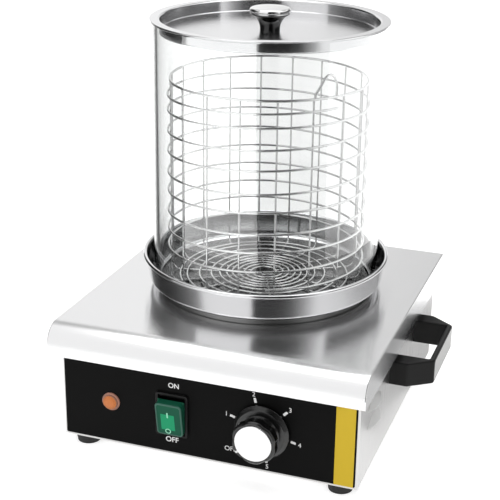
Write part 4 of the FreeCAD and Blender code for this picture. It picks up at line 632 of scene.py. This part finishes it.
LENS_DOME_R = 6.0
lens_outline = [(0, 0, 0), (8.0, 0, 0.2), (8.0, 1.2, 0.4), (6.6, 1.6, 0.3), (6.4, 3.0, 1.2), (4.0, 4.9, 2.5),
                (0, 5.5, 0)]
lens = turned("lamp_lens", lens_outline, "base", LOOKS["lens_amber"], facing(LAMP_X, PANEL, LAMP_Z),
              segments=96)
second_look(lens.data, "lens_rim",
            lambda middle: math.hypot(middle.x - LAMP_X, middle.z - LAMP_Z) > LENS_DOME_R)
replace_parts(lens, "pilot_lamp_lens")


# Print on the front

INK = 0.05  # how far the ticks stand out from the panel
WORDS_OUT = 0.06
CAPITALS = 0.729  # the height of the font's capitals, as a share of its size
BOLD = 0.12


def bar(bm, middle, size, turn, radius):
    """A thin rounded bar on the panel, turned clockwise as seen from the front."""
    swing = Matrix.Rotation(-turn, 2)
    front = []
    for p in rounded_rectangle(*size, radius, 4):
        q = swing @ p
        front.append(Vector((middle[0] + q.x, PANEL - INK, middle[1] + q.y)))
    back = [Vector((p.x, PANEL + INK, p.z)) for p in front]
    loft(bm, [back, front])


def clock(radius, degrees):
    """A place about the dial at a clock angle."""
    turn = math.radians(degrees)
    return (DIAL_X + radius * math.sin(turn), DIAL_Z + radius * math.cos(turn))


def words(name, text, middle, height, body, material, weight=0.0):
    """Plain lettering, centred on a place on the panel."""
    curve = bpy.data.curves.new(name, "FONT")
    curve.body = text
    curve.align_x = "CENTER"
    curve.align_y = "CENTER"
    curve.size = height / CAPITALS * MM
    curve.extrude = WORDS_OUT * MM
    curve.offset = weight * MM
    made = bpy.data.objects.new(name, curve)
    SCENE.collection.objects.link(made)
    bpy.context.view_layer.update()
    mesh = bpy.data.meshes.new_from_object(made)
    bpy.data.objects.remove(made)
    los = [min(v.co[i] for v in mesh.vertices) for i in range(2)]
    his = [max(v.co[i] for v in mesh.vertices) for i in range(2)]
    mesh.transform(Matrix.Translation((-(los[0] + his[0]) / 2, -(los[1] + his[1]) / 2, 0)))
    mesh.transform(Matrix.Rotation(math.pi / 2, 4, "X"))
    mesh.transform(Matrix.Translation((middle[0] * MM, PANEL * MM, middle[1] * MM)))
    mesh.materials.clear()
    mesh.materials.append(LOOKS[material])
    obj = bpy.data.objects.new(name, mesh)
    SCENE.collection.objects.link(obj)
    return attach(obj, body)


OFF_MARK = -125.6  # clock angles of OFF and of 1 to 5 about the dial
NUMBER_MARKS = (-72.6, -14.0, 45.3, 102.6, 172.0)
TICK_R = 26.9
TICK_SIZE = (2.1, 4.4)
TICK_CORNER = 0.25
NUMBER_R = 32.4
NUMBER_H = 4.2
bm = bmesh.new()
for mark in NUMBER_MARKS:
    bar(bm, clock(TICK_R, mark), TICK_SIZE, math.radians(mark), TICK_CORNER)
finish_mesh(bm, "dial_ticks", "base", LOOKS["print_white"])
for number, mark in enumerate(NUMBER_MARKS, 1):
    words("dial_number_%d" % number, str(number), clock(NUMBER_R, mark), NUMBER_H, "base", "print_white")
words("dial_off", "OFF", (22.0, 24.0), 4.3, "base", "print_white")
words("switch_on_word", "ON", (-28.0, 71.9), 4.5, "base", "print_white", BOLD)
words("switch_off_word", "OFF", (-29.6, 21.9), 4.8, "base", "print_white", BOLD)

# Pointer line over the rim and the side of the knob's grip

POINTER_HALF = 0.9
POINTER_OUT = 0.15
POINTER_T = 0.4
bm = bmesh.new()
turn = math.radians(OFF_MARK)
ray = Vector((math.sin(turn), math.cos(turn)))
side = Vector((ray.y, -ray.x)) * POINTER_HALF
for r0, r1, h0, h1 in ((15.7, 17.5, 21.3, 21.3), (17.5, 18.9, 21.3, 19.9), (18.9, 18.95, 19.8, 13.6)):
    front = []
    for r, h, s in ((r0, h0, -1), (r1, h1, -1), (r1, h1, 1), (r0, h0, 1)):
        p = ray * r + side * s
        front.append(Vector((DIAL_X + p.x, DIAL_BACK - h - POINTER_OUT, DIAL_Z + p.y)))
    loft(bm, [front, [p + Vector((0, POINTER_T, 0)) for p in front]])
finish_mesh(bm, "dial_pointer_line", "dial", LOOKS["knob_line"])

# Switch: ledges at both ends of the pocket, and the rocker

LEDGE_OUT = 16.1
LEDGE_W = 23.8
bm = bmesh.new()
for end in (-1, 1):
    z = SWITCH_Z + end * LEDGE_OUT
    loops = []
    for deep, height in ((2.4, 3.1), (0.9, 3.1), (0.5, 2.5)):
        loops.append([Vector((SWITCH_X + p.x, PANEL + deep, z + p.y))
                      for p in rounded_rectangle(LEDGE_W, height, 0.5, 3)])
    loft(bm, loops)
finish_mesh(bm, "switch_ledges", "base", LOOKS["bezel"], 25)


def on_rocker(across, out, rise):
    """A point of the tilted rocker, from its offsets at the pivot before the tilt."""
    c, s = math.cos(ROCKER_TILT), math.sin(ROCKER_TILT)
    return Vector((SWITCH_X + across, ROCKER_PIVOT_Y - out * c - rise * s, SWITCH_Z - out * s + rise * c))


def rocker_piece(name, levels, look, middle=(0.0, 0.0), cap_start=True):
    """A lofted part of the rocker, from loops of (width, height, radius, distance out of the pivot)."""
    bm = bmesh.new()
    loops = []
    for width, height, radius, out in levels:
        loops.append([on_rocker(middle[0] + p.x, out, middle[1] + p.y)
                      for p in rounded_rectangle(width, height, radius, 5)])
    loft(bm, loops, cap_start, True)
    return finish_mesh(bm, name, "rocker", LOOKS[look], 25)


skirt = rocker_piece("rocker_skirt", [(23.2, 16.0, 0.5, -3.0), (23.2, 31.0, 0.5, 4.6), (23.2, 31.0, 3.0, 5.4),
                                      (23.2, 31.0, 3.0, 10.4), (22.6, 30.4, 2.8, 10.9)], "rocker_green")
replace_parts(skirt, "switch_rocker")
# the rocker's rim carries the painted highlight
rocker_piece("rocker_rim_painted_highlight", [(23.2, 31.0, 3.0, 10.5), (23.0, 30.8, 2.9, 11.2), (22.0, 29.8, 2.6, 11.6),
                            (20.6, 28.4, 2.2, 11.6), (20.2, 28.0, 2.0, 11.1)], "rocker_rim_painted_highlight", cap_start=False)
rocker_piece("rocker_field", [(20.4, 28.2, 2.0, 10.6), (20.3, 28.1, 2.0, 11.15)], "rocker_green",
             cap_start=False)
rocker_piece("rocker_window", [(12.2, 15.7, 0.6, 11.0), (12.0, 15.5, 0.6, 11.3)], "rocker_window",
             (-1.2, -2.6))
rocker_piece("rocker_on_mark", [(1.3, 5.2, 0.3, 11.2), (1.2, 5.1, 0.3, 11.4)], "mint", (-1.1, 4.6))

OFF_RING = (-1.6, -11.6)
OFF_RING_SIDES = 32
bm = bmesh.new()
loops = []
for wide, out in ((2.5, 11.1), (2.5, 11.35), (1.7, 11.35), (1.7, 11.1)):
    angles = [2 * math.pi * k / OFF_RING_SIDES for k in range(OFF_RING_SIDES)]
    loops.append([on_rocker(OFF_RING[0] + wide * math.cos(a), out, OFF_RING[1] + wide * math.sin(a))
                  for a in angles])
loft(bm, loops, False, False)
finish_mesh(bm, "rocker_off_mark", "rocker", LOOKS["mint"], 25)

# Camera, fitted to the photo's edges, in metres

YAW, PITCH, ROLL = (math.radians(a) for a in (19.438, -21.017, 0.803))
CAMERA_PLACE = (0.3288, -0.95938, 0.53729)
LENS = 88.851
ahead = Vector((-math.sin(YAW) * math.cos(PITCH), math.cos(YAW) * math.cos(PITCH), math.sin(PITCH)))
right = Vector((math.cos(YAW), math.sin(YAW), 0.0))
above = right.cross(ahead)
right_rolled = right * math.cos(ROLL) + above * math.sin(ROLL)
above_rolled = above * math.cos(ROLL) - right * math.sin(ROLL)
lens_data = bpy.data.cameras.new("camera")
lens_data.sensor_fit = "HORIZONTAL"
lens_data.sensor_width = 36.0
lens_data.lens = LENS
lens_data.clip_end = 100.0
camera = bpy.data.objects.new("camera", lens_data)
SCENE.collection.objects.link(camera)
columns = Matrix((right_rolled, above_rolled, -ahead)).transposed()
camera.matrix_world = Matrix.Translation(CAMERA_PLACE) @ columns.to_4x4()
SCENE.camera = camera

# Floor, world, lamps and screens, in metres

WORLD_LEVEL = 0.55
FLOOR_GLOW = 0.6


def empty_tree(owner):
    """The node tree of a material or world, emptied."""
    owner.use_nodes = True
    owner.node_tree.nodes.clear()
    return owner.node_tree


def white_for_rays(tree, plain, white):
    """White to the camera, to gloss and through glass, and plain light otherwise."""
    rays = add_node(tree, "LightPath").outputs
    seen = rays["Is Camera Ray"]
    for kind in ("Is Glossy Ray", "Is Transmission Ray"):
        seen = add_node(tree, "Math", {0: seen, 1: rays[kind]}, operation="MAXIMUM").outputs[0]
    return add_node(tree, "MixShader", {0: seen, 1: plain.outputs[0], 2: white.outputs[0]}).outputs[0]


world = bpy.data.worlds.new("studio")
SCENE.world = world
tree = empty_tree(world)
plain = add_node(tree, "Background", {"Color": (1, 1, 1, 1), "Strength": WORLD_LEVEL})
white = add_node(tree, "Background", {"Color": (1, 1, 1, 1), "Strength": 1.0})
add_node(tree, "OutputWorld", {"Surface": white_for_rays(tree, plain, white)})

floor_look = bpy.data.materials.new("studio_floor")
tree = empty_tree(floor_look)
diffuse = add_node(tree, "BsdfDiffuse", {"Color": (0.8, 0.8, 0.8, 1)})
glow = add_node(tree, "Emission", {"Strength": FLOOR_GLOW})
both = add_node(tree, "AddShader", {0: diffuse.outputs[0], 1: glow.outputs[0]})
add_node(tree, "OutputMaterial", {"Surface": white_for_rays(tree, diffuse, both)})


def stage_mesh(name, points, faces, material):
    """A flat or bent sheet of the studio."""
    mesh = bpy.data.meshes.new(name)
    mesh.from_pydata(points, [], faces)
    mesh.materials.append(material)
    obj = bpy.data.objects.new(name, mesh)
    SCENE.collection.objects.link(obj)
    return obj


FLOOR_HALF = 7.0
FLOOR_MIDDLE = (0, 1.5, 0)
corners = [(x * FLOOR_HALF, y * FLOOR_HALF, 0) for x, y in ((-1, -1), (1, -1), (1, 1), (-1, 1))]
floor = stage_mesh("floor", corners, [(0, 1, 2, 3)], floor_look)
floor.location = FLOOR_MIDDLE


def area(name, place, target, size, power):
    """A soft rectangular lamp that points at a target."""
    data = bpy.data.lights.new(name, "AREA")
    data.shape = "RECTANGLE"
    data.size, data.size_y = size
    data.energy = power
    obj = bpy.data.objects.new(name, data)
    SCENE.collection.objects.link(obj)
    obj.location = place
    obj.rotation_euler = (Vector(target) - Vector(place)).to_track_quat("-Z", "Y").to_euler()
    return obj


lights = [area("light_top", (0.0, 0.2, 2.6), (0, 0, 0.1), (2.4, 2.4), 26),
          area("light_left", (-1.6, -2.2, 1.6), (0, 0, 0.15), (1.2, 1.6), 14),
          area("light_front", (0.9, -2.4, 0.9), (0, 0, 0.1), (1.2, 1.2), 10)]
for light in lights[1:]:
    light.visible_glossy = False
    light.visible_transmission = False


CARD_STEPS = 24


def sky(degrees, rise, distance):
    """A point of the studio at an azimuth and elevation."""
    turn, up = math.radians(degrees), math.radians(rise)
    return Vector((math.cos(turn) * math.cos(up), math.sin(turn) * math.cos(up), math.sin(up))) * distance


def card(name, spread, near, far, levels, near_spread=None):
    """A screen seen only in gloss and through glass, between two azimuths.

    Near and far are the (elevation, distance) of its two long edges, in degrees and metres, and the
    near edge may have azimuths of its own. Its brightness runs from the first level at the first azimuth
    to the last one at the last. It is more than white only in the mirror image on clear glass.
    """
    points = []
    values = []
    for k in range(CARD_STEPS + 1):
        at = k / CARD_STEPS * (len(levels) - 1)
        first = min(int(at), len(levels) - 2)
        for edge, ends in ((near, near_spread or spread), (far, spread)):
            points.append(sky(ends[0] + (ends[1] - ends[0]) * k / CARD_STEPS, *edge))
            values.append(levels[first] + (levels[first + 1] - levels[first]) * (at - first))
    look = bpy.data.materials.new(name)
    tree = empty_tree(look)
    source = add_node(tree, "Attribute", attribute_name="shade").outputs["Fac"]
    capped = add_node(tree, "Math", {0: source, 1: 1.0}, operation="MINIMUM").outputs[0]
    rays = add_node(tree, "LightPath").outputs
    mirrored = add_node(tree, "Math", {0: rays["Is Singular Ray"], 1: rays["Is Transmission Ray"]},
                        operation="SUBTRACT", use_clamp=True).outputs[0]
    level = add_node(tree, "Mix", {"Factor": mirrored, 2: capped, 3: source}).outputs[0]
    shine = add_node(tree, "Emission", {"Strength": level}).outputs[0]
    add_node(tree, "OutputMaterial", {"Surface": shine})
    faces = [(2 * k, 2 * k + 2, 2 * k + 3, 2 * k + 1) for k in range(CARD_STEPS)]
    obj = stage_mesh(name, points, faces, look)
    shade = obj.data.attributes.new("shade", "FLOAT", "POINT")
    for spot, value in zip(shade.data, values):
        spot.value = value
    obj.visible_camera = False
    obj.visible_diffuse = False
    obj.visible_shadow = False
    return obj


RIGHT = (0.015, 0.015, 0.02, 0.08, 0.45, 1.2)  # levels of the dark screens at both sides
LEFT = (0.2, 0.03, 0.03, 0.1)
VEIL = 5.0  # of the screens that whiten the front of the tube
cards = [card("card_right", (-84, -14), (0, 3.2), (80, 3.2), RIGHT),
         card("card_right_low", (-84, -14), (0.6, 0.4), (0.1, 3.2), RIGHT, (-78, -14)),
         card("card_left", (139, 198), (0, 3.2), (45, 3.2), LEFT),
         card("card_left_high", (198, 222), (6, 3.2), (45, 3.2), (0.1, 0.3)),
         card("card_left_low", (139, 198), (0.6, 0.4), (0.1, 3.2), LEFT, (145, 206)),
         card("card_veil_left", (198, 276), (0.6, 0.5), (0.1, 3.2), (VEIL, VEIL), (206, 282)),
         card("card_veil_right", (-14, 110), (0.6, 0.5), (0.1, 3.2), (0.8 * VEIL, 0.8 * VEIL)),
         card("card_side_low", (-8, 96), (0.6, 0.15), (0.2, 0.33), (0.6, 0.65, 0.75)),
         card("card_back", (80, 112), (10, 3.2), (40, 3.2), (0.62, 0.7, 1.0)),
         card("card_high", (60, 160), (42, 3.0), (60, 3.0), (0.45, 0.4, 0.45))]
far_right = card("card_far_right", (-14, 80), (1.5, 3.1), (32, 3.1), (0.08, 0.12, 0.16))
far_right.visible_transmission = False
cards.append(far_right)
SCENE.view_settings.view_transform = "Standard"
